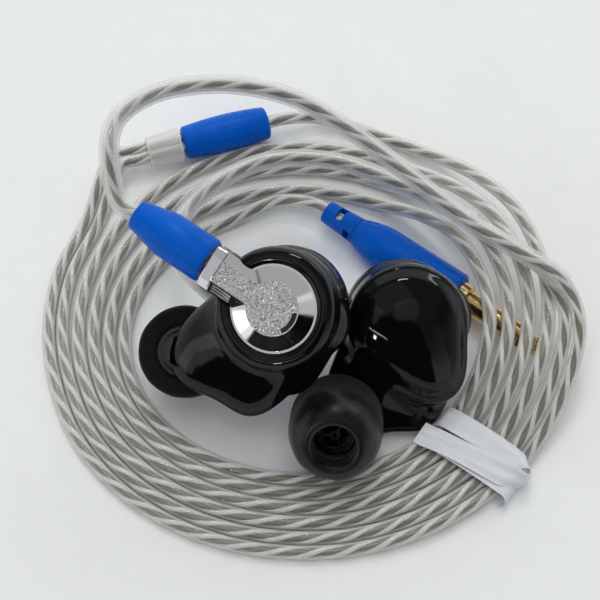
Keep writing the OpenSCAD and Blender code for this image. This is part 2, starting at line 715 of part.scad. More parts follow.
// The slider's far half is stepped down along its length.
module slider() {
    color([0.8, 0.8, 0.78, 0.7]) difference() {
        at_splitter(slider_from) rotate_extrude()
            polygon([[0, 0], [slider_r - slider_edge, 0], [slider_r, slider_edge],
                [slider_tip_r, slider_l - slider_edge], [slider_tip_r - slider_edge, slider_l],
                [0, slider_l]]);
        at_splitter(slider_from - cut)
            translate([-slider_r - cut, -slider_r - cut - slider_edge, 0])
                cube([slider_step + cut, slider_r + cut, slider_l + 2 * cut]);
        for (side = [-1, 1]) translate(splitter_point(0, side * lead_aside) - splitter_point(0, 0))
            at_splitter(slider_from - cut) cylinder(r = lead_d / 2 + fit_gap, h = slider_l + 2 * cut);
    }
}

// The band goes round all the strands, between the innermost and the outermost.
function radius_of(p) = norm([p.x - coil_middle.x, p.y - coil_middle.y]);
tie_first_r = radius_of(coil_point(360 - tie_angle, cable_d, 0));
tie_last_r = radius_of(coil_point((lead_turn + 1) * 360 - tie_angle, lead_d, lead_gap));
tie_height = cable_d + 2 * (tie_t + tie_clearance);
tie_slack = 0.42;
module tie_section(grow) {
    round_r = tie_height / 2 - tie_t + grow;
    hull() for (r = [tie_first_r - tie_slack, tie_last_r + tie_slack])
        translate([r, tie_height / 2]) circle(r = round_r);
}
module cable_tie() {
    color([0.93, 0.94, 0.95])
        translate([coil_middle.x, coil_middle.y, 0] - footprint) rotate(-tie_angle) rotate([90, 0, 0])
            translate([0, 0, -tie_w / 2]) linear_extrude(tie_w) difference() {
                tie_section(tie_t);
                tie_section(0);
            }
}

// ---- jack --------------------------------------------------------------

module at_jack(from) {
    translate(jack_point(from) - footprint) rotate([0, 90, jack_heading]) children();
}
collar_at = relief_l + barrel_l;
plug_at = collar_at + collar_l;
barrel_nose_l = 5.5;
barrel_edge = 0.4;

// The strain relief's two rows of slots stand across each other.
module jack_strain_relief() {
    color([0.05, 0.2, 0.62]) difference() {
        at_jack(0) rotate_extrude()
            polygon([[0, 0], [relief_r, 0], [relief_end_r, relief_l], [0, relief_l]]);
        at_jack(-cut) cylinder(r = cable_d / 2 + touch_gap, h = cable_seat_l + seat_gap + cut);
        at_jack(relief_ring_l)
            translate([-barrel_r, -slot_l / 2, 0]) cube([2 * barrel_r, slot_l, slot_w]);
        at_jack(relief_ring_l + slot_w + slot_step)
            translate([-slot_l / 2, -barrel_r, 0]) cube([slot_l, 2 * barrel_r, slot_w]);
    }
}
module jack_barrel() {
    swell = barrel_r - relief_end_r;
    color([0.05, 0.2, 0.62]) at_jack(relief_l) rotate_extrude()
        polygon(concat([[0, 0]],
            [for (t = [0 : 0.2 : 1]) [relief_end_r + swell * sin(90 * t), barrel_nose_l * t]],
            [[barrel_r, barrel_l - barrel_edge], [barrel_r - barrel_edge, barrel_l], [0, barrel_l]]));
}
module jack_collar() {
    color([0.85, 0.68, 0.32]) at_jack(collar_at) cylinder(r = collar_r, h = collar_l);
}
band_l = 0.7;
tip_l = 3.6;
ring_l = 2.0;
sleeve_l = jack_l - tip_l - ring_l - 2 * band_l;
module jack_sleeve() {
    color([0.85, 0.68, 0.32]) at_jack(plug_at) cylinder(r = jack_r, h = sleeve_l);
}
module jack_ring() {
    color([0.85, 0.68, 0.32]) at_jack(plug_at + sleeve_l + band_l) cylinder(r = jack_r, h = ring_l);
}
module jack_insulators() {
    color([0.05, 0.05, 0.05]) for (from = [sleeve_l, sleeve_l + band_l + ring_l])
        at_jack(plug_at + from) cylinder(r = jack_r, h = band_l);
}
module jack_tip() {
    color([0.85, 0.68, 0.32]) at_jack(plug_at + jack_l - tip_l) rotate_extrude()
        polygon([[0, 0], [jack_r, 0], [jack_r - 0.5, 0.7], [jack_r - 0.05, 1.6],
            [jack_r - 0.2, 2.2], [0.5, tip_l - 0.1], [0, tip_l]]);
}

// ---- the nodes ---------------------------------------------------------

at_left() shell();  // left_shell
at_left() faceplate();  // left_faceplate
at_left() connector_cap();  // left_connector_cap
at_left() socket_barrel();  // left_socket_barrel
at_left() socket_insulator();  // left_socket_insulator
at_left() socket_contact();  // left_socket_contact
at_left() nozzle();  // left_nozzle
at_left() nozzle_grille();  // left_nozzle_grille
at_left() dynamic_driver();  // left_dynamic_driver
at_left() driver_diaphragm();  // left_driver_diaphragm
at_left() armature_driver();  // left_armature_driver
at_left() sound_tube();  // left_sound_tube
at_left() crossover_board();  // left_crossover_board
at_left() tip_core();  // left_tip_core
at_left() tip_foam();  // left_tip_foam
at_left() boot();  // left_boot
at_left() plug_barrel();  // left_plug_barrel
at_left() plug_insulator();  // left_plug_insulator
at_left() plug_pin();  // left_plug_pin
at_left() snap_ring();  // left_snap_ring
ear_guide(left_guide_points, left_boot_points);  // left_ear_guide
cable(left_lead_points, lead_d, 8);  // left_lead

at_right() shell();  // right_shell
at_right() faceplate();  // right_faceplate
at_right() connector_cap();  // right_connector_cap
at_right() socket_barrel();  // right_socket_barrel
at_right() socket_insulator();  // right_socket_insulator
at_right() socket_contact();  // right_socket_contact
at_right() nozzle();  // right_nozzle
at_right() nozzle_grille();  // right_nozzle_grille
at_right() dynamic_driver();  // right_dynamic_driver
at_right() driver_diaphragm();  // right_driver_diaphragm
at_right() armature_driver();  // right_armature_driver
at_right() sound_tube();  // right_sound_tube
at_right() crossover_board();  // right_crossover_board
at_right() tip_core();  // right_tip_core
at_right() tip_foam();  // right_tip_foam
at_right() boot();  // right_boot
at_right() plug_barrel();  // right_plug_barrel
at_right() plug_insulator();  // right_plug_insulator
at_right() plug_pin();  // right_plug_pin
at_right() snap_ring();  // right_snap_ring
ear_guide(right_guide_points, right_boot_points);  // right_ear_guide
cable(right_lead_points, lead_d, 8);  // right_lead

cable(main_points, cable_d, 6);  // main_cable
splitter();
slider();
cable_tie();
jack_barrel();
jack_strain_relief();
jack_collar();
jack_sleeve();
jack_ring();
jack_tip();
jack_insulators();
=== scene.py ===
import json
import math

import bmesh
import bpy
from mathutils import Euler, Matrix, Vector, noise

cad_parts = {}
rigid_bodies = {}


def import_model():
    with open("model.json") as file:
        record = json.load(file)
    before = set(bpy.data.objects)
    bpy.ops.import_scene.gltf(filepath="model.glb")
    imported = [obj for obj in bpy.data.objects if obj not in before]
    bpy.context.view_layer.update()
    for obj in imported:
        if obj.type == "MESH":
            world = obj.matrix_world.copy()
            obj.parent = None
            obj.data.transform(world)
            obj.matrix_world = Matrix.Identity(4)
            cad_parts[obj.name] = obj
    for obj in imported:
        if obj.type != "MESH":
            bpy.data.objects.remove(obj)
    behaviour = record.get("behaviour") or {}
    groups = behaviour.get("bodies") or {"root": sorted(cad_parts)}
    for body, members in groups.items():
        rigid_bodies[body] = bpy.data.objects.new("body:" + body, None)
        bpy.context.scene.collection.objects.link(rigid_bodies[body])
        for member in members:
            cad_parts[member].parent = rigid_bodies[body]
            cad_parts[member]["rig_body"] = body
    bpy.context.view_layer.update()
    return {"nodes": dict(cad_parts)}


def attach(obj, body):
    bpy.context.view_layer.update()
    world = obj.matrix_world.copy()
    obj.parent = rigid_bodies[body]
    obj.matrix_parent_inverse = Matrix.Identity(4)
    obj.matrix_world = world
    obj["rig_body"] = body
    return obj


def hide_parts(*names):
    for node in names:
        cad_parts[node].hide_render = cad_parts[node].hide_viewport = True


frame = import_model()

mm = 0.001
footprint = Vector((0.7, -14.4, 0))  # middle of the two earpieces, where the row's origin is

# camera, placed in millimetres
camera = {"place": (-0.7, -85.6, 177.2), "tilt": 30, "lens": 81, "sensor": 36}

cameraData = bpy.data.cameras.new("camera")
cameraData.lens = camera["lens"]
cameraData.sensor_width = camera["sensor"]
cameraData.clip_start = 0.01
cameraData.clip_end = 20
cameraObject = bpy.data.objects.new("camera", cameraData)
cameraObject.location = Vector(camera["place"]) * mm
cameraObject.rotation_euler = (math.radians(camera["tilt"]), 0, 0)
bpy.context.scene.collection.objects.link(cameraObject)
bpy.context.scene.camera = cameraObject
print("camera placed")

# where things lie (millimetres, as the parts are drawn)
earpieces = {
    "left": {"at": (-3.65, -13.3, 24.68), "turn": (-34.9, -6.0, 145.4)},
    "right": {"at": (14.45, -4.0, 7.04), "turn": (141.2, -2.6, -179.6)},
}
connectorDepth = 3.0
bootEnd = 23.3
bootSeat = 2.5  # how far a lead runs into its boot


def earFrame(side):
    ear = earpieces[side]
    turn = Euler([math.radians(a) for a in ear["turn"]], "XYZ").to_matrix().to_4x4()
    flip = Matrix.Diagonal((1, 1 if side == "left" else -1, 1, 1))
    place = Matrix.Translation(Vector(ear["at"]) - footprint)
    return Matrix.Scale(mm, 4) @ place @ turn @ flip


def newObject(name, mesh, finish):
    made = bpy.data.objects.new(name, mesh)
    bpy.context.scene.collection.objects.link(made)
    if finish is not None:
        mesh.materials.clear()
        mesh.materials.append(finish)
    return made


def finishMesh(bm, name, finish, place=Matrix(), sharp=35):
    bmesh.ops.transform(bm, matrix=place, verts=bm.verts)
    if place.determinant() < 0:
        bmesh.ops.reverse_faces(bm, faces=bm.faces)
    mesh = bpy.data.meshes.new(name)
    bm.to_mesh(mesh)
    bm.free()
    mesh.shade_smooth()
    mesh.set_sharp_from_angle(angle=math.radians(sharp))
    return newObject(name, mesh, finish)


def standsFor(piece, body, slot, *nodes):
    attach(piece, body)
    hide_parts(*nodes)
    return piece


# routes of the cords, close to those of the part's source
cable = {"thick": 2.1, "leadThick": 1.95, "coilA": 25.3, "coilB": 21.8, "middle": (-0.05, -4.35),
         "first": 81, "entry": 120, "last": 81 + 3.96 * 360, "step": 15, "pitch": 2.15,
         "climbFoot": -33, "climbWide": 25, "fallFoot": 68, "fallWide": 42, "plateau": 7.15,
         "leadFrom": 4 * 360 + 148, "leadTo": 4 * 360 + 348, "leadGap": 2.05, "leadAside": 1.05,
         "spread": (2.87, 1.04, 0.255, -0.3)}  # how far apart the turns lie round the coil
tie = {"angle": 49, "lift": 0.45, "reach": 22, "fade": 12}  # the cords rise over the strip
splitter = {"from": (-5.25, 33.4, 3.3), "heading": 197.3, "length": 14, "sliderFrom": 14.4,
            "sliderLength": 5.4, "travel": 4, "seat": 3, "mitre": 0.55}
jack = {"from": (4.25, 16.15, 3.3), "heading": -37.8, "seat": 5.6}


def ease(t):
    t = max(0.0, min(1.0, t))
    return t * t * (3 - 2 * t)


def coilPoint(angle, thick, aside=0.0):
    a = math.radians(angle)
    edge = 1 / math.hypot(math.cos(a) / cable["coilA"], math.sin(a) / cable["coilB"])
    even, bySine, byCosine, byDouble = cable["spread"]
    pitch = max(cable["pitch"],
                even + bySine * math.sin(a) + byCosine * math.cos(a) + byDouble * math.cos(2 * a))
    r = edge + pitch * (angle - cable["first"]) / 360 + aside
    w = (angle + 180) % 360 - 180
    climb = ease((w - cable["climbFoot"]) / cable["climbWide"])
    fall = ease((cable["fallFoot"] - w) / cable["fallWide"])
    lift = (cable["plateau"] - thick / 2) * climb * fall
    lift += tie["lift"] * ease((tie["reach"] - abs(w + tie["angle"])) / tie["fade"]) * (1 - climb)
    return Vector((cable["middle"][0] + r * math.cos(a), cable["middle"][1] + r * math.sin(a),
                   thick / 2 + lift))


def alongHeading(start, heading, along, aside=0.0):
    h = math.radians(heading)
    return Vector(start) + Vector((along * math.cos(h) - aside * math.sin(h),
                                   along * math.sin(h) + aside * math.cos(h), 0))


def jackPoint(along):
    return alongHeading(jack["from"], jack["heading"], along)


def splitterPoint(along, aside=0.0):
    return alongHeading(splitter["from"], splitter["heading"], along, aside)


def leadStart(aside):
    end = splitter["sliderFrom"] + splitter["sliderLength"]
    last = end + splitter["travel"] + 1 - splitter["mitre"] * aside
    stops = (splitter["length"] - splitter["seat"], splitter["length"], end, (end + last) / 2, last)
    return [splitterPoint(s, aside) for s in stops]


def leadCoil(aside):
    angles = range(cable["leadFrom"], cable["leadTo"] + 1, cable["step"])
    return [coilPoint(a, cable["leadThick"], aside) for a in angles]


def bootPoint(side, x):
    place = Matrix.Translation(footprint) @ Matrix.Scale(1 / mm, 4) @ earFrame(side)
    return place @ Vector((x, 0, -connectorDepth))


leftGuide = [(37.8, -1.6, 11.6), (31.4, 2.4, 13.6), (24.4, 6.4, 15.2), (14.7, 14.0, 17.6),
             (7.2, 19.4, 19.8), (0, 22.7, 22.4), (-7.2, 23.4, 24.7), (-14.2, 22.2, 26.6),
             (-20.8, 19.2, 28.1), (-25.2, 14.6, 28.6), (-26.0, 9.4, 28.2)]
leftGuide = [Vector(p) for p in leftGuide]
leftGuide += [bootPoint("left", bootEnd + 3), bootPoint("left", bootEnd)]
rightGuide = [(25.8, 10.2, 9.7), (20.6, 13.6, 9.6), (14.2, 17.6, 9.3), (5.4, 21.6, 9.0),
              (-4.6, 21.8, 9.0), (-12.6, 17.0, 9.6), (-17.2, 10.8, 10.2), (-18.0, 5.2, 10.7),
              (-15.8, 0.6, 10.9), (-12.4, -2.9, 10.3)]
rightGuide = [Vector(p) for p in rightGuide]
rightGuide += [bootPoint("right", bootEnd + 1), bootPoint("right", bootEnd)]

mainStops = [jackPoint(jack["seat"]), jackPoint(0), jackPoint(-2.2), Vector((-3.2, 18.6, 2.6))]
mainStops += [coilPoint(angle, cable["thick"])
              for angle in range(cable["entry"], int(cable["last"]) + 1, cable["step"])]
mainStops += [Vector((3.0, 35.2, 2.1)), Vector((-1.2, 34.5, 3.1)),
              splitterPoint(-2), splitterPoint(0), splitterPoint(splitter["seat"])]
leftStops = (leadStart(-cable["leadAside"]) + leadCoil(cable["leadGap"])
             + [Vector((39.8, -7.2, 8.9))]
             + leftGuide + [bootPoint("left", bootEnd - bootSeat)])
rightStops = (leadStart(cable["leadAside"]) + leadCoil(0)
              + [Vector(p) for p in ((38.1, -5.0, 8.2), (35.8, 1.2, 9.1), (31.0, 6.2, 9.4))]
              + rightGuide + [bootPoint("right", bootEnd - bootSeat)])


def smoothRoute(stops, step=0.5, between=12):  # a centripetal curve, cut into even steps
    ends = [stops[0] * 2 - stops[1]] + stops + [stops[-1] * 2 - stops[-2]]
    line = []
    for a, b, c, d in zip(ends, ends[1:], ends[2:], ends[3:]):
        t1 = math.sqrt((b - a).length)
        t2 = t1 + math.sqrt((c - b).length)
        t3 = t2 + math.sqrt((d - c).length)
        for i in range(between):
            t = t1 + (t2 - t1) * i / between
            ab = a * ((t1 - t) / t1) + b * (t / t1)
            bc = b * ((t2 - t) / (t2 - t1)) + c * ((t - t1) / (t2 - t1))
            cd = c * ((t3 - t) / (t3 - t2)) + d * ((t - t2) / (t3 - t2))
            abc = ab * ((t2 - t) / t2) + bc * (t / t2)
            bcd = bc * ((t3 - t) / (t3 - t1)) + cd * ((t - t1) / (t3 - t1))
            line.append(abc * ((t2 - t) / (t2 - t1)) + bcd * ((t - t1) / (t2 - t1)))
    line.append(stops[-1])
    total = sum((q - p).length for p, q in zip(line, line[1:]))
    count = round(total / step)
    even, gone, i = [line[0]], 0.0, 0
    for k in range(1, count):
        want = total * k / count
        while gone + (line[i + 1] - line[i]).length < want:
            gone += (line[i + 1] - line[i]).length
            i += 1
        even.append(line[i].lerp(line[i + 1], (want - gone) / (line[i + 1] - line[i]).length))
    even.append(line[-1])
    return [(p - footprint) * mm for p in even]


def routeLength(line):
    return sum((q - p).length for p, q in zip(line, line[1:]))


def curveTube(name, lines, radius, finish, sides):
    data = bpy.data.curves.new(name, "CURVE")
    data.dimensions = "3D"
    data.twist_mode = "MINIMUM"
    data.bevel_depth = radius
    data.bevel_resolution = (sides - 4) // 2
    data.use_fill_caps = True
    for line in lines:
        spline = data.splines.new("POLY")
        spline.points.add(len(line) - 1)
        for point, place in zip(spline.points, line):
            point.co = (*place, 1)
    data.materials.append(finish)
    made = bpy.data.objects.new(name, data)
    bpy.context.scene.collection.objects.link(made)
    return made


def twistLines(line, count, reach, turnLength):
    side = (line[1] - line[0]).cross(Vector((0, 0, 1))).normalized()
    twisted = [[] for i in range(count)]
    gone = 0.0
    for i, place in enumerate(line):
        ahead = (line[min(i + 1, len(line) - 1)] - line[max(i - 1, 0)]).normalized()
        side = (side - ahead * side.dot(ahead)).normalized()
        up = side.cross(ahead)
        if i:
            gone += (place - line[i - 1]).length
        for k in range(count):
            turn = 2 * math.pi * (gone / turnLength + k / count)
            twisted[k].append(place + (side * math.cos(turn) + up * math.sin(turn)) * reach)
    return twisted


def curveMesh(curveObject, name):
    mesh = bpy.data.meshes.new_from_object(curveObject)
    finish = curveObject.data.materials[0]
    bpy.data.objects.remove(curveObject)
    mesh.name = name
    mesh.shade_smooth()
    return newObject(name, mesh, finish)


def newFinish(name, sockets):
    finish = bpy.data.materials.new(name)
    finish.use_nodes = True
    tree = finish.node_tree
    shader = tree.nodes["Principled BSDF"]
    for socket, value in sockets.items():
        shader.inputs[socket].default_value = value
    return finish, tree, shader


def addNode(tree, kind, inputs={}, settings={}):
    node = tree.nodes.new(kind)
    for key, value in settings.items():
        setattr(node, key, value)
    for key, value in inputs.items():
        if isinstance(value, bpy.types.NodeSocket):
            tree.links.new(value, node.inputs[key])
        else:
            node.inputs[key].default_value = value
    return node


def nodeMath(tree, operation, *values):
    inputs = dict(enumerate(values))
    return addNode(tree, "ShaderNodeMath", inputs, {"operation": operation}).outputs[0]


def aimedAt(tree, ahead, aim):
    settings = {"operation": "DOT_PRODUCT"}
    return addNode(tree, "ShaderNodeVectorMath", {0: ahead, 1: aim}, settings).outputs["Value"]


def coordinates(tree, kind="Object"):
    return addNode(tree, "ShaderNodeTexCoord").outputs[kind]


def addNoise(tree, place, scale, detail=3.0, rough=0.5):
    settings = {"Vector": place, "Scale": scale, "Detail": detail, "Roughness": rough}
    return addNode(tree, "ShaderNodeTexNoise", settings).outputs["Fac"]


def stretch(tree, value, low, high, start=0.0, end=1.0):
    inputs = {"Value": value, "From Min": start, "From Max": end, "To Min": low, "To Max": high}
    return addNode(tree, "ShaderNodeMapRange", inputs).outputs["Result"]


def mixColours(tree, share, first, second):
    node = addNode(tree, "ShaderNodeMix", {"Factor": share}, {"data_type": "RGBA"})
    for socket, colour in ((node.inputs[6], first), (node.inputs[7], second)):
        socket.default_value = (*colour, 1)
    return node.outputs[2]


def addBump(tree, shader, height, distance, strength=1.0, under=None):
    inputs = {"Height": height, "Distance": distance, "Strength": strength}
    if under is not None:
        inputs["Normal"] = under
    bump = addNode(tree, "ShaderNodeBump", inputs).outputs["Normal"]
    tree.links.new(bump, shader.inputs["Normal"])
    return bump


def plainFinish(name, colour, rough, metallic=0.0, grain=4000, depth=0.000004, sockets={},
                vary=0.15):
    finish, tree, shader = newFinish(name, {"Metallic": metallic, **sockets})
    place = coordinates(tree)
    tone = stretch(tree, addNoise(tree, place, 260, 4), 0, 1, 0.3, 0.7)
    dark = [c * (1 - vary) for c in colour]
    tree.links.new(mixColours(tree, tone, dark, colour), shader.inputs["Base Color"])
    gloss = stretch(tree, addNoise(tree, place, 900, 5), rough * 0.8, rough * 1.2, 0.3, 0.7)
    tree.links.new(gloss, shader.inputs["Roughness"])
    addBump(tree, shader, addNoise(tree, place, grain, 3), depth)
    return finish


resin = {"axis": (0.75, 0.3, -0.6), "layer": 0.5, "step": 0.025, "waver": 0.5}  # printed layers


def blackResin(side):
    finish, tree, shader = newFinish(side + "BlackResin", {
        "Base Color": (0.0025, 0.003, 0.0035, 1), "IOR": 1.5, "Specular IOR Level": 0.3})
    place = coordinates(tree)
    gloss = stretch(tree, addNoise(tree, place, 700, 4), 0.03, 0.07, 0.3, 0.7)
    tree.links.new(gloss, shader.inputs["Roughness"])
    axis = earFrame(side).to_3x3() @ Vector(resin["axis"]).normalized()
    height = aimedAt(tree, place, axis)
    waver = addNoise(tree, place, 160, 2)
    height = nodeMath(tree, "MULTIPLY_ADD", waver, resin["waver"] * mm, height)
    phase = nodeMath(tree, "MULTIPLY", height, 2 * math.pi / (resin["layer"] * mm))
    layers = nodeMath(tree, "SINE", phase)
    first = addBump(tree, shader, layers, resin["step"] * mm, 1.0)
    addBump(tree, shader, addNoise(tree, place, 170, 1), 0.00003, 0.3, first)
    return finish


def mirrorChrome():
    finish, tree, shader = newFinish("mirrorChrome", {
        "Base Color": (0.83, 0.83, 0.84, 1), "Metallic": 1})
    place = coordinates(tree)
    gloss = stretch(tree, addNoise(tree, place, 1200, 5), 0.035, 0.12, 0.35, 0.75)
    tree.links.new(gloss, shader.inputs["Roughness"])
    addBump(tree, shader, addNoise(tree, place, 420, 2), 0.000006, 0.5)
    return finish


def etchedChrome():
    finish, tree, shader = newFinish("etchedChrome", {"Metallic": 1})
    place = coordinates(tree)
    grain = stretch(tree, addNoise(tree, place, 5600, 2, 0.6), 0, 1, 0.38, 0.62)
    tree.links.new(mixColours(tree, grain, (0.36, 0.36, 0.35), (1, 1, 0.98)),
                   shader.inputs["Base Color"])
    gloss = stretch(tree, addNoise(tree, place, 2600, 5), 0.08, 0.26, 0.35, 0.7)
    tree.links.new(gloss, shader.inputs["Roughness"])
    first = addBump(tree, shader, grain, 0.00005, 1.0)
    addBump(tree, shader, addNoise(tree, place, 1300, 2), 0.00003, 0.5, first)
    return finish


def clearPvc(name, tint, rough, middle, edge):  # how milky it is in the middle and at its edges
    finish, tree, shader = newFinish(name, {
        "Base Color": (*tint, 1), "IOR": 1.5, "Roughness": rough, "Alpha": middle})
    facing = addNode(tree, "ShaderNodeLayerWeight", {"Blend": 0.5}).outputs["Facing"]
    tree.links.new(stretch(tree, facing, middle, edge, 0.05, 0.42), shader.inputs["Alpha"])
    place = coordinates(tree)
    addBump(tree, shader, addNoise(tree, place, 350, 2), 0.00002, 0.35)
    return finish


def silverStrand(name, length, layLength, wires=8):
    finish, tree, shader = newFinish(name, {"Metallic": 0.1})
    place = coordinates(tree, "UV")
    turns = 0.62832  # the wave texture comes round once in this distance
    spread = addNode(tree, "ShaderNodeMapping", {
        "Vector": place, "Scale": (turns * length / layLength, turns * wires, 1)}).outputs["Vector"]
    wireLines = addNode(tree, "ShaderNodeTexWave", {"Vector": spread, "Scale": 1.0},
                        {"bands_direction": "DIAGONAL"}).outputs["Fac"]
    tone = stretch(tree, wireLines, 0, 1, 0.25, 0.6)
    tree.links.new(mixColours(tree, tone, (0.72, 0.71, 0.66), (1, 1, 0.985)),
                   shader.inputs["Base Color"])
    tree.links.new(stretch(tree, wireLines, 0.45, 0.26), shader.inputs["Roughness"])
    first = addBump(tree, shader, wireLines, 0.00008, 0.8)
    addBump(tree, shader, addNoise(tree, coordinates(tree), 2100, 2), 0.00003, 0.5, first)
    return finish


def foamFinish():
    finish, tree, shader = newFinish("foam", {"Specular IOR Level": 0.32, "Sheen Weight": 0.05,
                                              "Sheen Roughness": 0.5})
    place = coordinates(tree)
    cells = addNoise(tree, place, 5200, 3, 0.6)
    clouds = addNoise(tree, place, 420, 4, 0.6)
    split = addNode(tree, "ShaderNodeSeparateXYZ", {"Vector": coordinates(tree, "UV")})
    skin = stretch(tree, split.outputs["Y"], 0, 1, 0.35, 0.65)
    speckle = stretch(tree, cells, 0, 1, 0.52, 0.72)
    tone = addNode(tree, "ShaderNodeMix", {
        "Factor": skin, 2: speckle, 3: stretch(tree, clouds, 0, 0.8, 0.35, 0.75)}).outputs[0]
    tree.links.new(mixColours(tree, tone, (0.0004, 0.0006, 0.0008), (0.0115, 0.015, 0.017)),
                   shader.inputs["Base Color"])
    tree.links.new(stretch(tree, skin, 0.9, 0.3), shader.inputs["Roughness"])
    deep = nodeMath(tree, "MULTIPLY", cells, stretch(tree, skin, 1.0, 0.16))
    addBump(tree, shader, deep, 0.00022, 0.8)
    return finish


def tieFinish():
    finish, tree, shader = newFinish("whiteStrip", {
        "Base Color": (0.80, 0.82, 0.86, 1), "Subsurface Weight": 0.25,
        "Subsurface Radius": (0.001, 0.001, 0.001), "Subsurface Scale": 0.6, "Coat Weight": 0.25,
        "Coat Roughness": 0.2})
    place = coordinates(tree, "UV")
    long = addNode(tree, "ShaderNodeMapping", {"Vector": place, "Scale": (3.0, 9.0, 1)})
    wrinkles = addNoise(tree, long.outputs["Vector"], 2.2, 5, 0.6)
    tree.links.new(stretch(tree, wrinkles, 0.24, 0.42), shader.inputs["Roughness"])
    addBump(tree, shader, wrinkles, 0.0004, 0.55)
    return finish


finishes = {
    "leftBlack": blackResin("left"),
    "rightBlack": blackResin("right"),
    "chrome": mirrorChrome(),
    "etched": etchedChrome(),
    "blue_plastic": plainFinish("bluePlastic", (0.0, 0.11, 0.6), 0.3, 0.0, 7500, 0.000012,
                                {"IOR": 1.45, "Specular IOR Level": 0.12}),
    "gold": plainFinish("goldPlate", (0.80, 0.57, 0.24), 0.2, 1.0, 3000, 0.000003),
    "copper": plainFinish("bareCopper", (0.72, 0.42, 0.25), 0.26, 1.0, 4000, 0.000005),
    "steel": plainFinish("satinSteel", (0.55, 0.55, 0.57), 0.28, 1.0, 5000, 0.000004),
    # near-black steel for the nozzle and its grille: painted shade for where they sit inside the
    # foam's bore and between the foam and the shell
    "darkSteel": plainFinish("darkSteel", (0.07, 0.072, 0.075), 0.3, 1.0, 5000, 0.000004),
    "driver_metal": plainFinish("driverMetal", (0.66, 0.67, 0.69), 0.3, 1.0, 5000, 0.000004),
    "diaphragm": plainFinish("diaphragm", (0.25, 0.25, 0.27), 0.4, 0.0, 2500, 0.00001),
    "white_plastic": plainFinish("whitePlastic", (0.8, 0.8, 0.78), 0.45),
    "black_plastic": plainFinish("blackPlastic", (0.02, 0.02, 0.02), 0.4),
    "board": plainFinish("circuitBoard", (0.03, 0.2, 0.08), 0.35, 0.0, 2000, 0.00001),
    "black_rubber": plainFinish("blackRubber", (0.022, 0.023, 0.025), 0.5, 0.0, 5000, 0.00001),
    # near-black floor of the faceplate's arc slot: painted shade standing in for the dark opening
    "slotShade": plainFinish("paintedSlotShade", (0.012, 0.012, 0.013), 0.3, 0.0, 2600, 0.00001),
    "clear_plastic": clearPvc("clearTube", (0.86, 0.87, 0.87), 0.07, 0.02, 0.4),
    "jacket": clearPvc("clearJacket", (0.76, 0.755, 0.71), 0.04, 0.01, 0.66),
    "frosted": clearPvc("frostedPvc", (0.9, 0.9, 0.87), 0.35, 0.42, 0.8),
    # the core stands for the inner conductors; its dark grey is painted shade for the dim, shaded
    # silver seen between the bright strands
    "core": plainFinish("coreSilverPaintedShade", (0.3, 0.29, 0.25), 0.4, 0.4, 2200, 0.00003),
    "foam": foamFinish(),
    "white_tie": tieFinish(),
}
print("finishes made")

cordRoutes = {"mainCable": smoothRoute(mainStops), "leftLead": smoothRoute(leftStops),
              "rightLead": smoothRoute(rightStops)}
for name, line in cordRoutes.items():
    print(name, "is", round(routeLength(line), 4), "m long")

cordLooks = {
    "mainCable": {"node": "main_cable", "thick": cable["thick"], "coreR": 0.6, "strandR": 0.38,
                  "reach": 0.58, "turn": 10.6, "wireLay": 2.6},
}
for side in earpieces:
    cordLooks[side + "Lead"] = {"node": side + "_lead", "thick": cable["leadThick"], "coreR": 0.55,
                                "strandR": 0.35, "reach": 0.54, "turn": 10.2, "wireLay": 2.6}


def makeCord(name, look):
    line = cordRoutes[name]
    jacket = curveTube(name, [line], look["thick"] / 2 * mm, finishes["jacket"], 16)
    turnLength = look["turn"] * mm
    twisted = twistLines(line, 2, look["reach"] * mm, turnLength)
    silver = silverStrand(name + "Silver", routeLength(twisted[0]), look["wireLay"] * mm)
    strands = curveMesh(curveTube(name + "Strands", twisted, look["strandR"] * mm, silver, 10),
                        name + "Strands")
    # the core carries the painted shade between the two bright strands
    core = curveMesh(curveTube(name + "Core", [line], look["coreR"] * mm, finishes["core"], 12),
                     name + "Core")
    standsFor(jacket, "cable", "cable", look["node"])
    for inner in (core, strands):
        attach(inner, "cable")
    return jacket, core, strands


cordPieces = {name: makeCord(name, look) for name, look in cordLooks.items()}


def nearestStep(line, place):
    place = (place - footprint) * mm
    return min(range(len(line)), key=lambda i: (line[i] - place).length)


def hollowTube(name, line, outer, inner, finish, sides):
    bm = bmesh.new()
    for radius in (outer, inner):
        tube = curveTube("tube", [line], radius, finish, sides)
        tube.data.use_fill_caps = False
        mesh = bpy.data.meshes.new_from_object(tube)
        bpy.data.objects.remove(tube)
        old = set(bm.faces)
        bm.from_mesh(mesh)
        if radius == inner:
            bmesh.ops.reverse_faces(bm, faces=[f for f in bm.faces if f not in old])
    for end in (line[0], line[-1]):
        rim = [e for e in bm.edges if e.is_boundary and (e.verts[0].co - end).length < outer * 1.2]
        bmesh.ops.bridge_loops(bm, edges=rim)
    bmesh.ops.recalc_face_normals(bm, faces=bm.faces)
    return finishMesh(bm, name, finish, sharp=50)


guide = {"outer": 1.4, "bore": 1.0, "sides": 24}
guides = {}
for side, stops in (("left", leftGuide), ("right", rightGuide)):
    line = cordRoutes[side + "Lead"]
    part = line[nearestStep(line, stops[0]):nearestStep(line, stops[-1]) + 1]
    guides[side] = hollowTube(side + "EarGuide", part, guide["outer"] * mm, guide["bore"] * mm,
                              finishes["clear_plastic"], guide["sides"])
    standsFor(guides[side], "cable", "clear_plastic", side + "_ear_guide")
print("cords and ear guides made")

# rigid pieces that keep the shape of their solids, with worn edges
ownNames = {"splitter": "cordSplitter", "slider": "chinSlider"}  # the solids have the other names


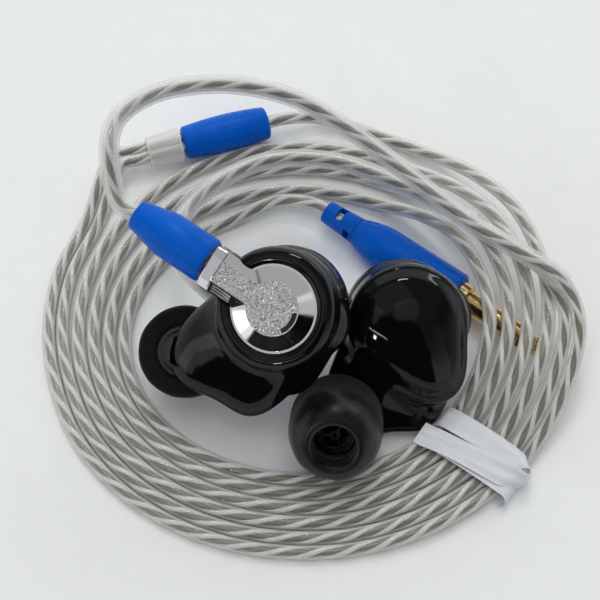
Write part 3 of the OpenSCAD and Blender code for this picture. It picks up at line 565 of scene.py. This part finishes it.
def dressNode(node, finish, slot, bevel, sharp=32):
    source = frame["nodes"][node]
    bm = bmesh.new()
    bm.from_mesh(source.data)
    bmesh.ops.remove_doubles(bm, verts=bm.verts, dist=2e-7)
    bmesh.ops.dissolve_limit(bm, angle_limit=math.radians(1.2), verts=bm.verts, edges=bm.edges)
    words = node.split("_")
    name = ownNames.get(node, words[0] + "".join(w.capitalize() for w in words[1:]))
    piece = finishMesh(bm, name, finish, sharp=sharp)
    if bevel:
        rounding = piece.modifiers.new("edges", "BEVEL")
        rounding.width = bevel * mm
        rounding.segments = 2
        rounding.limit_method = "ANGLE"
        rounding.angle_limit = math.radians(sharp)
        rounding.harden_normals = True
        rounding.use_clamp_overlap = True
    return standsFor(piece, source["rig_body"], slot, node)


edgeSizes = {
    "splitter": ("blue_plastic", 0.35), "jack_barrel": ("blue_plastic", 0.2),
    "jack_strain_relief": ("blue_plastic", 0.12), "jack_collar": ("gold", 0.12),
    "jack_sleeve": ("gold", 0.05), "jack_ring": ("gold", 0.05), "jack_tip": ("gold", 0.05),
    "jack_insulators": ("black_plastic", 0.03),
}
sideEdgeSizes = {
    "connector_cap": ("chrome", 0.25), "boot": ("blue_plastic", 0.3),
    "plug_barrel": ("copper", 0.04), "socket_barrel": ("gold", 0.03), "snap_ring": ("steel", 0.0),
    "nozzle": ("steel", 0.08), "nozzle_grille": ("steel", 0.04), "tip_core": ("black_rubber", 0.12),
}
for side in earpieces:
    for node, look in sideEdgeSizes.items():
        edgeSizes[side + "_" + node] = look
# nozzles and grilles take the near-black steel as painted shade, the other parts their own finish
dressed = {node: dressNode(node, finishes["darkSteel" if "nozzle" in node else slot], slot, bevel)
           for node, (slot, bevel) in edgeSizes.items()}
dressed["slider"] = dressNode("slider", finishes["frosted"], "clear_plastic", 0.2)

insideSlots = {"socket_insulator": "white_plastic", "socket_contact": "gold",
               "dynamic_driver": "driver_metal", "driver_diaphragm": "diaphragm",
               "armature_driver": "driver_metal", "sound_tube": "clear_plastic",
               "crossover_board": "board", "plug_insulator": "white_plastic", "plug_pin": "gold"}
for side in earpieces:
    for node, slot in insideSlots.items():
        solid = frame["nodes"][side + "_" + node]
        for place in solid.material_slots:
            place.material = finishes[slot]
print("rigid pieces dressed")

# a shell's rings: depth, radius, share of the flange's bumps, share of the cheek's bump
shell = {
    "sides": 120, "steps": 4, "pole": 12.47, "plateSeat": 1.1,
    "neckStart": 5.6, "neckReach": 8.9, "neckHalf": 2.95, "neckSides": 48, "neckSquare": 1.6,
    "slab": {"length": 9, "middle": 7.5, "height": 2, "gap": 0.08},
    "flange": ((10, 62, 30), (5.2, 104, 20), (1.2, 190, 28)), "cheek": ((3.9, 122, 30),),
    "inside": [(11.4, 1.6, 0, 0.1), (10.8, 4.2, 0, 0.5), (9.8, 5.9, 0, 0.75), (9.2, 7.0, 0, 0.85),
               (6.8, 7.0, 0, 0.3), (2.8, 6.9, 0, 0), (2.1, 5.2, 0, 0), (1.1, 5.2, 0, 0),
               (1.1, 6.0, 0, 0), (0.55, 6.0, 0, 0)],
    "outside": [(0.3, 6.08, 0, 0), (0.17, 6.4, 0, 0), (0.13, 6.9, 0, 0), (0.25, 7.4, 0, 0),
                (0.75, 7.95, 0, 0), (1.8, 8.2, 0.02, 0), (3.0, 8.1, 0.12, 0),
                (3.8, 7.9, 0.42, 0.05), (4.6, 7.95, 0.78, 0.1), (5.4, 8.1, 0.96, 0.2),
                (6.2, 8.2, 1, 0.35), (6.8, 8.3, 0.86, 0.5), (7.3, 8.3, 0.55, 0.65),
                (8.2, 8.3, 0.25, 0.85), (9.2, 8.2, 0.05, 1), (9.7, 7.7, 0, 0.95),
                (11.1, 6.3, 0, 0.75), (12.0, 4.0, 0, 0.4), (12.4, 1.5, 0, 0.1)],
}


def bumps(angle, sizes):
    degrees = math.degrees(angle) % 360
    degrees = degrees - 360 if degrees > 290 else degrees
    return sum(size * math.exp(-((degrees - at) / width) ** 2) for size, at, width in sizes)


def easedLevels(levels, steps):
    rows = [Vector(level) for level in levels]
    rows = [rows[0] * 2 - rows[1]] + rows + [rows[-1] * 2 - rows[-2]]
    eased = []
    for a, b, c, d in zip(rows, rows[1:], rows[2:], rows[3:]):
        for i in range(steps):
            t = i / steps
            eased.append(0.5 * (2 * b + (c - a) * t + (2 * a - 5 * b + 4 * c - d) * t * t
                                + (3 * b - a - 3 * c + d) * t ** 3))
    return eased + [rows[-2]]


def placeRing(verts, level):
    for vert in verts:
        a = math.atan2(vert.co.y, vert.co.x)
        r = level[1] + level[2] * bumps(a, shell["flange"]) + level[3] * bumps(a, shell["cheek"])
        vert.co = (r * math.cos(a), r * math.sin(a), -level[0])


def newVerts(made):
    return [g for g in made if isinstance(g, bmesh.types.BMVert)]


def nextRing(bm, edges):
    made = bmesh.ops.extrude_edge_only(bm, edges=edges)["geom"]
    verts = set(newVerts(made))
    ring = [g for g in made if isinstance(g, bmesh.types.BMEdge) and set(g.verts) <= verts]
    return ring, list(verts)


def shellBody():
    bm = bmesh.new()
    levels = shell["inside"] + easedLevels(shell["outside"], shell["steps"])
    bmesh.ops.create_circle(bm, segments=shell["sides"], radius=levels[0][1])
    edges = list(bm.edges)
    placeRing(bm.verts, levels[0])
    bmesh.ops.contextual_create(bm, geom=edges)
    for level in levels[1:]:
        edges, verts = nextRing(bm, edges)
        placeRing(verts, level)
    edges, verts = nextRing(bm, edges)
    for vert in verts:
        vert.co = (vert.co.x * 0.5, vert.co.y * 0.5, -shell["pole"])
    bmesh.ops.contextual_create(bm, geom=edges)
    bmesh.ops.recalc_face_normals(bm, faces=bm.faces)
    return bm


def neckBody():
    bm = bmesh.new()
    half, start = shell["neckHalf"], shell["neckStart"]
    bmesh.ops.create_circle(bm, segments=shell["neckSides"], radius=half)
    top = connectorDepth - shell["plateSeat"]
    for vert in bm.verts:
        if vert.co.y > 0:
            wide = math.copysign(half, vert.co.x) if abs(vert.co.x) > 0.01 else 0
            vert.co = (wide, min(vert.co.y * shell["neckSquare"], top), 0)
    for vert in bm.verts:
        if vert.co.y >= top - 0.001:
            vert.co.y = top
    bmesh.ops.contextual_create(bm, geom=list(bm.edges))
    made = bmesh.ops.extrude_face_region(bm, geom=list(bm.faces))["geom"]
    bmesh.ops.translate(bm, vec=(0, 0, shell["neckReach"] - start), verts=newVerts(made))
    bmesh.ops.recalc_face_normals(bm, faces=bm.faces)
    turn = Matrix(((0, 0, 1, start), (1, 0, 0, 0), (0, 1, 0, -connectorDepth), (0, 0, 0, 1)))
    bmesh.ops.transform(bm, matrix=turn, verts=bm.verts)
    return bm


def slabBody():
    bm = bmesh.new()
    bmesh.ops.create_cube(bm, size=1)
    slab = shell["slab"]
    wide = 2 * (shell["neckHalf"] + slab["gap"])
    bmesh.ops.scale(bm, vec=(slab["length"], wide, slab["height"]), verts=bm.verts)
    bmesh.ops.translate(bm, vec=(slab["middle"], 0, slab["height"] / 2 - shell["plateSeat"]),
                        verts=bm.verts)
    return bm


def joinedShape(bm, tools):
    base = finishMesh(bm, "base", None)
    extra = []
    for kind, tool in tools:
        other = finishMesh(tool, "tool", None)
        change = base.modifiers.new(kind, "BOOLEAN")
        change.operation = kind
        change.solver = "EXACT"
        change.object = other
        extra.append(other)
    bpy.context.view_layer.update()
    shaped = base.evaluated_get(bpy.context.evaluated_depsgraph_get())
    result = bmesh.new()
    result.from_mesh(shaped.to_mesh())
    shaped.to_mesh_clear()
    for thing in [base, *extra]:
        bpy.data.objects.remove(thing)
    return result


def makeShell(side):
    bm = joinedShape(shellBody(), [("DIFFERENCE", slabBody()), ("UNION", neckBody())])
    piece = finishMesh(bm, side + "Shell", finishes[side + "Black"], earFrame(side), 42)
    standsFor(piece, side + "_monitor", "black_gloss", side + "_shell")


for side in earpieces:
    makeShell(side)
print("shells made")

facePlate = {
    "radius": 5.9, "edge": 0.5, "bevel": 0.6, "flat": 3.6, "step": 0.3, "steps": 128, "round": 0.06,
    "neckReach": 8.9, "neck": 5.9, "ridge": (-1.7, 1.42),
    "bars": {"count": 3, "wide": 0.27, "deep": 0.3, "from": 5.6, "to": 8.6},
    "slot": {"at": 174, "spread": 29, "radius": 3.12, "wide": 0.62, "deep": 0.5},
}


def prism(corners, length):  # corners in YZ, drawn out along X
    bm = bmesh.new()
    bm.faces.new([bm.verts.new((0, y, z)) for y, z in corners])
    made = bmesh.ops.extrude_face_region(bm, geom=list(bm.faces))["geom"]
    bmesh.ops.translate(bm, vec=(length, 0, 0), verts=newVerts(made))
    bmesh.ops.recalc_face_normals(bm, faces=bm.faces)
    return bm


def plateCone(lowRadius, topRadius, low, top):
    bm = bmesh.new()
    bmesh.ops.create_cone(bm, cap_ends=True, segments=facePlate["steps"], radius1=lowRadius,
                          radius2=topRadius, depth=top - low,
                          matrix=Matrix.Translation((0, 0, (low + top) / 2)))
    return bm


def arcSlot(slot):
    bm = bmesh.new()
    bmesh.ops.create_grid(bm, x_segments=1, y_segments=1, size=0.5,
                          matrix=Matrix.Rotation(math.radians(90), 4, "X"))
    bmesh.ops.scale(bm, vec=(slot["wide"], 1, slot["deep"] * 2), verts=bm.verts)
    bmesh.ops.translate(bm, vec=(slot["radius"], 0, 0), verts=bm.verts)
    start = Matrix.Rotation(math.radians(slot["at"] - slot["spread"]), 3, "Z")
    bmesh.ops.rotate(bm, cent=(0, 0, 0), matrix=start, verts=bm.verts)
    bmesh.ops.spin(bm, geom=list(bm.verts) + list(bm.edges) + list(bm.faces), axis=(0, 0, 1),
                   cent=(0, 0, 0), angle=math.radians(2 * slot["spread"]), steps=24)
    bmesh.ops.recalc_face_normals(bm, faces=bm.faces)
    return bm


def grooveBar(bars, share):
    bm = bmesh.new()
    bmesh.ops.create_circle(bm, cap_ends=True, segments=20, radius=bars["wide"] / 2)
    reach = bars["to"] - bars["from"] - bars["wide"]
    bmesh.ops.translate(bm, vec=(reach, 0, 0), verts=[v for v in bm.verts if v.co.x > 0])
    made = bmesh.ops.extrude_face_region(bm, geom=list(bm.faces))["geom"]
    bmesh.ops.translate(bm, vec=(0, 0, 1), verts=newVerts(made))
    bmesh.ops.translate(bm, vec=(bars["from"] + bars["wide"] / 2, 0, -bars["deep"]), verts=bm.verts)
    wide = facePlate["neck"] / 2 - facePlate["ridge"][1]
    slope = Matrix.Rotation(-math.atan2(facePlate["bevel"], wide), 4, "X")
    y = facePlate["ridge"][1] + wide * share
    bmesh.ops.transform(bm, matrix=Matrix.Translation((0, y, -facePlate["bevel"] * share)) @ slope,
                        verts=bm.verts)
    bmesh.ops.recalc_face_normals(bm, faces=bm.faces)
    return bm


def isSlotFloor(spot):
    slot = facePlate["slot"]
    aside = abs(spot.xy.length - slot["radius"])
    return spot.x < 0 and spot.z < 0.1 - slot["deep"] and aside < slot["wide"] / 2 - 0.02


def makeFaceplate(side):
    plate, bars = facePlate, facePlate["bars"]
    low, half = -plate["bevel"] - plate["edge"], plate["neck"] / 2
    base = prism([(-half, low), (half, low), (half, -plate["bevel"]), (-half, -plate["bevel"])],
                 plate["neckReach"])
    ridge = prism([(-half, -plate["bevel"] - 0.1), (half, -plate["bevel"] - 0.1),
                   (half, -plate["bevel"]), (plate["ridge"][1], 0), (plate["ridge"][0], 0),
                   (-half, -plate["bevel"])], plate["neckReach"])
    cone = plateCone(plate["radius"] - plate["step"], plate["flat"], -plate["bevel"], 0)
    tools = [("UNION", base), ("UNION", cone), ("UNION", ridge),
             ("DIFFERENCE", arcSlot(plate["slot"]))]
    tools += [("DIFFERENCE", grooveBar(bars, (i + 1) / (bars["count"] + 1)))
              for i in range(bars["count"])]
    bm = joinedShape(plateCone(plate["radius"], plate["radius"], low, -plate["bevel"]), tools)
    bmesh.ops.dissolve_limit(bm, angle_limit=math.radians(0.5), verts=bm.verts, edges=bm.edges)
    bm.faces.index_update()
    bm.normal_update()
    flats = {f.index for f in bm.faces if f.normal.z > 0.999 and f.calc_center_median().z > -0.02}
    # faces on the slot's floor, which get the painted shade
    sunk = {f.index for f in bm.faces if isSlotFloor(f.calc_center_median())}
    piece = finishMesh(bm, side + "Faceplate", finishes["chrome"], earFrame(side), 20)
    piece.data.materials.append(finishes["etched"])
    piece.data.materials.append(finishes["slotShade"])
    for face in piece.data.polygons:
        face.material_index = 2 if face.index in sunk else 1 if face.index in flats else 0
    rounding = piece.modifiers.new("edges", "BEVEL")
    rounding.width = plate["round"] * mm
    rounding.segments = 2
    rounding.limit_method = "ANGLE"
    rounding.angle_limit = math.radians(14)
    rounding.harden_normals = True
    standsFor(piece, side + "_monitor", "chrome", side + "_faceplate")


for side in earpieces:
    makeFaceplate(side)
print("faceplates made")

# a foam tip's profile: radius, distance along the tip
foam = {
    "start": 1.1, "length": 11, "steps": 96,
    "lump": {"size": 0.07, "scale": 0.45, "beyond": 3.8, "left": (3, 7, 1), "right": (11, 2, 5)},
    "profile": [(3.55, 0.0), (4.8, 0.02), (5.9, 0.1), (6.3, 0.45), (6.45, 1.3), (6.5, 3.0),
                (6.5, 5.0), (6.4, 6.6), (6.15, 8.0), (5.7, 9.3), (5.1, 10.2), (4.5, 10.75),
                (3.9, 10.98), (3.4, 10.98), (3.05, 10.75), (2.9, 10.3), (2.9, 9.2), (3.5, 9.0),
                (3.55, 6.0), (3.55, 3.0)],
}
nozzle = {"root": (9.05, 13.15, -6.15), "lean": 12, "angle": 59}


def nozzleFrame(side):
    turn = Euler((0, math.radians(180 - nozzle["lean"]), math.radians(nozzle["angle"])), "XYZ")
    return earFrame(side) @ Matrix.Translation(nozzle["root"]) @ turn.to_matrix().to_4x4()


def makeFoam(side):
    bm = bmesh.new()
    rows = foam["profile"]
    corners = [bm.verts.new((r, 0, foam["start"] + z)) for r, z in rows]
    for a, b in zip(corners, corners[1:] + corners[:1]):
        bm.edges.new((a, b))
    bmesh.ops.subdivide_edges(bm, edges=bm.edges, cuts=1, use_grid_fill=False)
    bmesh.ops.spin(bm, geom=list(bm.verts) + list(bm.edges), axis=(0, 0, 1), cent=(0, 0, 0),
                   angle=2 * math.pi, steps=foam["steps"], use_merge=True)
    bmesh.ops.remove_doubles(bm, verts=bm.verts, dist=0.0005)
    bmesh.ops.recalc_face_normals(bm, faces=bm.faces)
    lump = foam["lump"]
    for vert in bm.verts:
        out = Vector((vert.co.x, vert.co.y, 0)).normalized()
        if vert.co.xy.length > lump["beyond"]:
            spot = vert.co * lump["scale"] + Vector(lump[side])
            vert.co += out * lump["size"] * noise.noise(spot)
    layer = bm.loops.layers.uv.new("UVMap")
    for face in bm.faces:
        for loop in face.loops:
            turn = math.atan2(loop.vert.co.y, loop.vert.co.x) / (2 * math.pi)
            loop[layer].uv = (turn, (loop.vert.co.z - foam["start"]) / foam["length"])
    piece = finishMesh(bm, side + "Foam", finishes["foam"], nozzleFrame(side), 80)
    smooth = piece.modifiers.new("smooth", "SUBSURF")
    smooth.levels = smooth.render_levels = 1
    standsFor(piece, side + "_tip", "foam", side + "_tip_foam")


for side in earpieces:
    makeFoam(side)
print("foam tips made")

# the tie is one strip that goes round the coil and back over itself
strip = {"width": 3.6, "across": 16, "thick": 0.14, "angle": 35, "margin": 0.4, "top": 2.98,
         "steps": 6, "lowest": 0.12, "fold": 0.3, "folds": 11, "foldDrift": 0.6, "foldFade": 2.4,
         "lump": 0.3, "lumps": 3.1, "change": 0.13, "flat": 0.3, "creased": 0.7,
         "looseUntil": 0.55, "looseAbove": 2.9, "looseInside": 3}
coilMiddle = Vector((*cable["middle"], 0))
strip["first"] = (coilPoint(360 - strip["angle"], 1) - coilMiddle).xy.length - strip["margin"]
strip["last"] = (coilPoint(5 * 360 - strip["angle"], 1, cable["leadGap"])
                 - coilMiddle).xy.length + strip["margin"]


def tieRoute():  # distance from the coil's middle, height, place along the cords, roll
    a, b, up = strip["first"], strip["last"], strip["top"]
    middle = (a + b) / 2
    return [
        (a - 1.7, 4.0, -4.3, 0), (a - 0.6, 3.8, -4.1, 0), (a + 1.6, up + 0.55, -3.6, -3),
        (middle, up + 0.5, -3.1, -2), (b - 1.6, up + 0.85, -2.9, 16), (b + 0.2, up + 1.0, -2.7, 44),
        (b + 1.2, up + 0.65, -2.3, 70), (b + 1.8, up + 0.35, -1.6, 88),
        (b + 1.75, up + 0.2, -0.7, 96), (b + 1.3, up + 0.25, -0.2, 108),
        (b + 0.5, up + 0.45, 0.1, 134), (b - 0.9, up + 0.35, 0.3, 163),
        (middle, up + 0.12, 0.4, 180), (a + 1.2, up + 0.12, 0.35, 180),
        (a - 0.3, up - 0.15, 0.25, 180),
        (a - 0.95, 1.7, 0.15, 180), (a - 0.6, 0.6, 0.0, 180), (a + 0.7, 0.22, -0.7, 180),
        (middle, 0.22, -2.9, 180), (b - 0.5, 0.24, -4.2, 180), (b + 0.7, 0.7, -4.2, 180),
        (b + 1.1, 1.7, -4.0, 180), (b + 0.5, 2.85, -3.7, 180), (b - 0.8, up + 0.02, -3.6, 180),
        (middle, up, -3.4, 180), (a + 1.5, up, -3.4, 180)]


def makeTie():
    rows = easedLevels(tieRoute(), strip["steps"])
    angle = math.radians(-strip["angle"])
    out = Vector((math.cos(angle), math.sin(angle), 0))
    along = Vector((-math.sin(angle), math.cos(angle), 0))
    middle = coilMiddle - footprint
    bm = bmesh.new()
    bmesh.ops.create_grid(bm, x_segments=strip["across"], y_segments=1, size=0.5)
    bmesh.ops.delete(bm, geom=[v for v in bm.verts if v.co.y > 0], context="VERTS")
    layer = bm.verts.layers.float_color.new("stripPlace")
    edges = list(bm.edges)
    verts = list(bm.verts)
    share = {v: v.co.x + 0.5 for v in verts}

    def placeRow(verts, i):
        r, z, shift, roll = rows[i]
        before, after = rows[max(i - 1, 0)], rows[min(i + 1, len(rows) - 1)]
        ahead = (out * (after[0] - before[0]) + along * (after[2] - before[2])
                 + Vector((0, 0, after[1] - before[1]))).normalized()
        turn = math.radians(roll)
        across = along * math.cos(turn) + Vector((0, 0, 1)) * math.sin(turn)
        proud = across.cross(ahead).normalized()
        isLoose = (r > strip["first"] - strip["looseInside"] and z > strip["looseAbove"]
                   and i < len(rows) * strip["looseUntil"])
        loose = 1 if isLoose else strip["flat"]
        for vert in verts:
            s = share[vert] - 0.5
            phase = s * strip["folds"] + strip["foldDrift"] * math.sin(i * strip["change"])
            fold = strip["fold"] * math.sin(phase) * math.cos(s * strip["foldFade"])
            spot = Vector((i * strip["change"], s * strip["lumps"], 0.7))
            lump = strip["lump"] * noise.noise(spot)
            vert.co = (middle + out * r + Vector((0, 0, z)) + along * shift
                       + across * (s * strip["width"])
                       + proud * (fold + lump) * loose * strip["creased"])
            vert.co.z = max(vert.co.z, strip["lowest"])
            vert[layer] = (i / (len(rows) - 1), share[vert], 0, 1)

    placeRow(verts, 0)
    for i in range(1, len(rows)):
        places = [(v.co.copy(), share[v]) for v in verts]
        edges, verts = nextRing(bm, edges)
        for vert in verts:
            share[vert] = min(places, key=lambda p: (p[0] - vert.co).length)[1]
        placeRow(verts, i)
    uv = bm.loops.layers.uv.new("UVMap")
    for face in bm.faces:
        for loop in face.loops:
            loop[uv].uv = loop.vert[layer][:2]
    bmesh.ops.recalc_face_normals(bm, faces=bm.faces)
    piece = finishMesh(bm, "cableTie", finishes["white_tie"], Matrix.Scale(mm, 4), 180)
    wall = piece.modifiers.new("wall", "SOLIDIFY")
    wall.thickness = strip["thick"] * mm
    wall.offset = 0
    smooth = piece.modifiers.new("smooth", "SUBSURF")
    smooth.levels = smooth.render_levels = 1
    return standsFor(piece, "cable", "white_tie", "cable_tie")


cableTie = makeTie()
print("tie made")

for side in earpieces:
    name = side + "Lead"


def makeTable():
    finish = plainFinish("paleTable", (0.88, 0.89, 0.885), 0.5, 0.0, 900, 0.00001,
                         {"IOR": 1.4, "Specular IOR Level": 0.25}, 0.02)
    bm = bmesh.new()
    bmesh.ops.create_grid(bm, x_segments=2, y_segments=2, size=1.5)
    table = finishMesh(bm, "table", finish)


def softLight(name, place, size, power, tint=(1, 1, 1), aim=(0, 0, 0.01), shines=False):
    light = bpy.data.lights.new(name, "AREA")
    light.shape = "RECTANGLE"
    light.size, light.size_y = size
    light.energy = power
    light.color = tint
    lamp = bpy.data.objects.new(name, light)
    lamp.location = place
    lamp.rotation_euler = (Vector(aim) - Vector(place)).to_track_quat("-Z", "Y").to_euler()
    lamp.visible_glossy = shines
    bpy.context.scene.collection.objects.link(lamp)


def easedStep(tree, value, start, end):
    inputs = {"Value": value, "From Min": start, "From Max": end}
    settings = {"interpolation_type": "SMOOTHSTEP"}
    return addNode(tree, "ShaderNodeMapRange", inputs, settings).outputs["Result"]


def lampPatch(tree, ahead, patch, least=0.05):  # a soft rectangle of the room, seen from the table
    aim = Vector(patch["aim"]).normalized()
    side = Vector((0, 0, 1)).cross(aim).normalized()
    front = aimedAt(tree, ahead, aim)
    mask = nodeMath(tree, "GREATER_THAN", front, least)
    for axis, half in ((side, patch["wide"]), (aim.cross(side), patch["tall"])):
        near = nodeMath(tree, "MAXIMUM", front, least)
        slope = nodeMath(tree, "DIVIDE", aimedAt(tree, ahead, axis), near)
        edge = half * (1 + patch["soft"])
        inside = easedStep(tree, nodeMath(tree, "ABSOLUTE", slope), edge, half)
        mask = nodeMath(tree, "MULTIPLY", mask, inside)
    return mask


room = {
    "horizon": 0.95, "overhead": 0.16, "floor": 0.5, "strength": 1.0, "tint": (0.965, 0.985, 1.0),
    "dark": [  # in front of the table and above it
        {"aim": (-0.3, -0.9, 0.3), "wide": 0.75, "tall": 0.62, "soft": 0.12, "level": 0.985},
        {"aim": (0.9, -0.3, 0.3), "wide": 0.3, "tall": 0.4, "soft": 0.4, "level": 0.5}],
    "lamps": [
        {"aim": (0.0, 0.82, 0.57), "wide": 0.7, "tall": 0.3, "soft": 0.2, "level": 0.8},
        {"aim": (-0.25, -0.12, 0.96), "wide": 0.42, "tall": 0.34, "soft": 0.3, "level": 0.25},
        {"aim": (0.1, -0.5, 0.85), "wide": 0.16, "tall": 0.14, "soft": 0.4, "level": 0.35},
        {"aim": (-0.5, -0.5, 0.72), "wide": 0.1, "tall": 0.1, "soft": 0.9, "level": 0.5},
        {"aim": (-0.45, -0.78, 0.43), "wide": 0.02, "tall": 0.02, "soft": 0.5, "level": 60},
        {"aim": (-0.42, -0.75, 0.5), "wide": 0.2, "tall": 0.011, "soft": 0.5, "level": 9},
        {"aim": (-0.83, -0.46, 0.3), "wide": 0.16, "tall": 0.18, "soft": 0.3, "level": 0.9},
        {"aim": (0.62, 0.6, 0.5), "wide": 0.12, "tall": 0.05, "soft": 0.3, "level": 5}],
}


def makeRoom():
    world = bpy.data.worlds.new("room")
    world.use_nodes = True
    tree = world.node_tree
    ahead = addNode(tree, "ShaderNodeVectorMath", {0: coordinates(tree, "Generated")},
                    {"operation": "NORMALIZE"}).outputs["Vector"]
    height = aimedAt(tree, ahead, (0, 0, 1))
    rise = nodeMath(tree, "MULTIPLY", easedStep(tree, height, 0.12, 0.6),
                     room["overhead"] - room["horizon"])
    light = nodeMath(tree, "ADD", rise, room["horizon"])
    drop = nodeMath(tree, "MULTIPLY", easedStep(tree, height, 0.0, -0.3),
                     room["floor"] - room["horizon"])
    light = nodeMath(tree, "ADD", light, drop)
    for patch in room["dark"]:
        kept = nodeMath(tree, "MULTIPLY_ADD", lampPatch(tree, ahead, patch), -patch["level"], 1)
        light = nodeMath(tree, "MULTIPLY", light, kept)
    for patch in room["lamps"]:
        shine = nodeMath(tree, "MULTIPLY", lampPatch(tree, ahead, patch), patch["level"])
        light = nodeMath(tree, "ADD", light, shine)
    back = tree.nodes["Background"]
    back.inputs["Color"].default_value = (*room["tint"], 1)
    tree.links.new(nodeMath(tree, "MULTIPLY", light, room["strength"]), back.inputs["Strength"])
    bpy.context.scene.world = world


makeTable()
softLight("keyLamp", (0.0, 0.33, 0.62), (0.16, 0.06), 0.55, shines=True)
softLight("topLight", (0.0, 0.05, 0.8), (0.6, 0.6), 1.85)
softLight("ceilingLight", (0.05, 0.0, 0.75), (1.8, 1.8), 1.0)
softLight("windowLight", (-0.5, 0.5, 0.55), (0.8, 0.5), 0.35, (0.97, 0.985, 1))
softLight("frontLight", (0.05, -0.6, 0.55), (1.1, 0.6), 0.45)
makeRoom()
bpy.context.scene.view_settings.view_transform = "Standard"
print("lights placed")
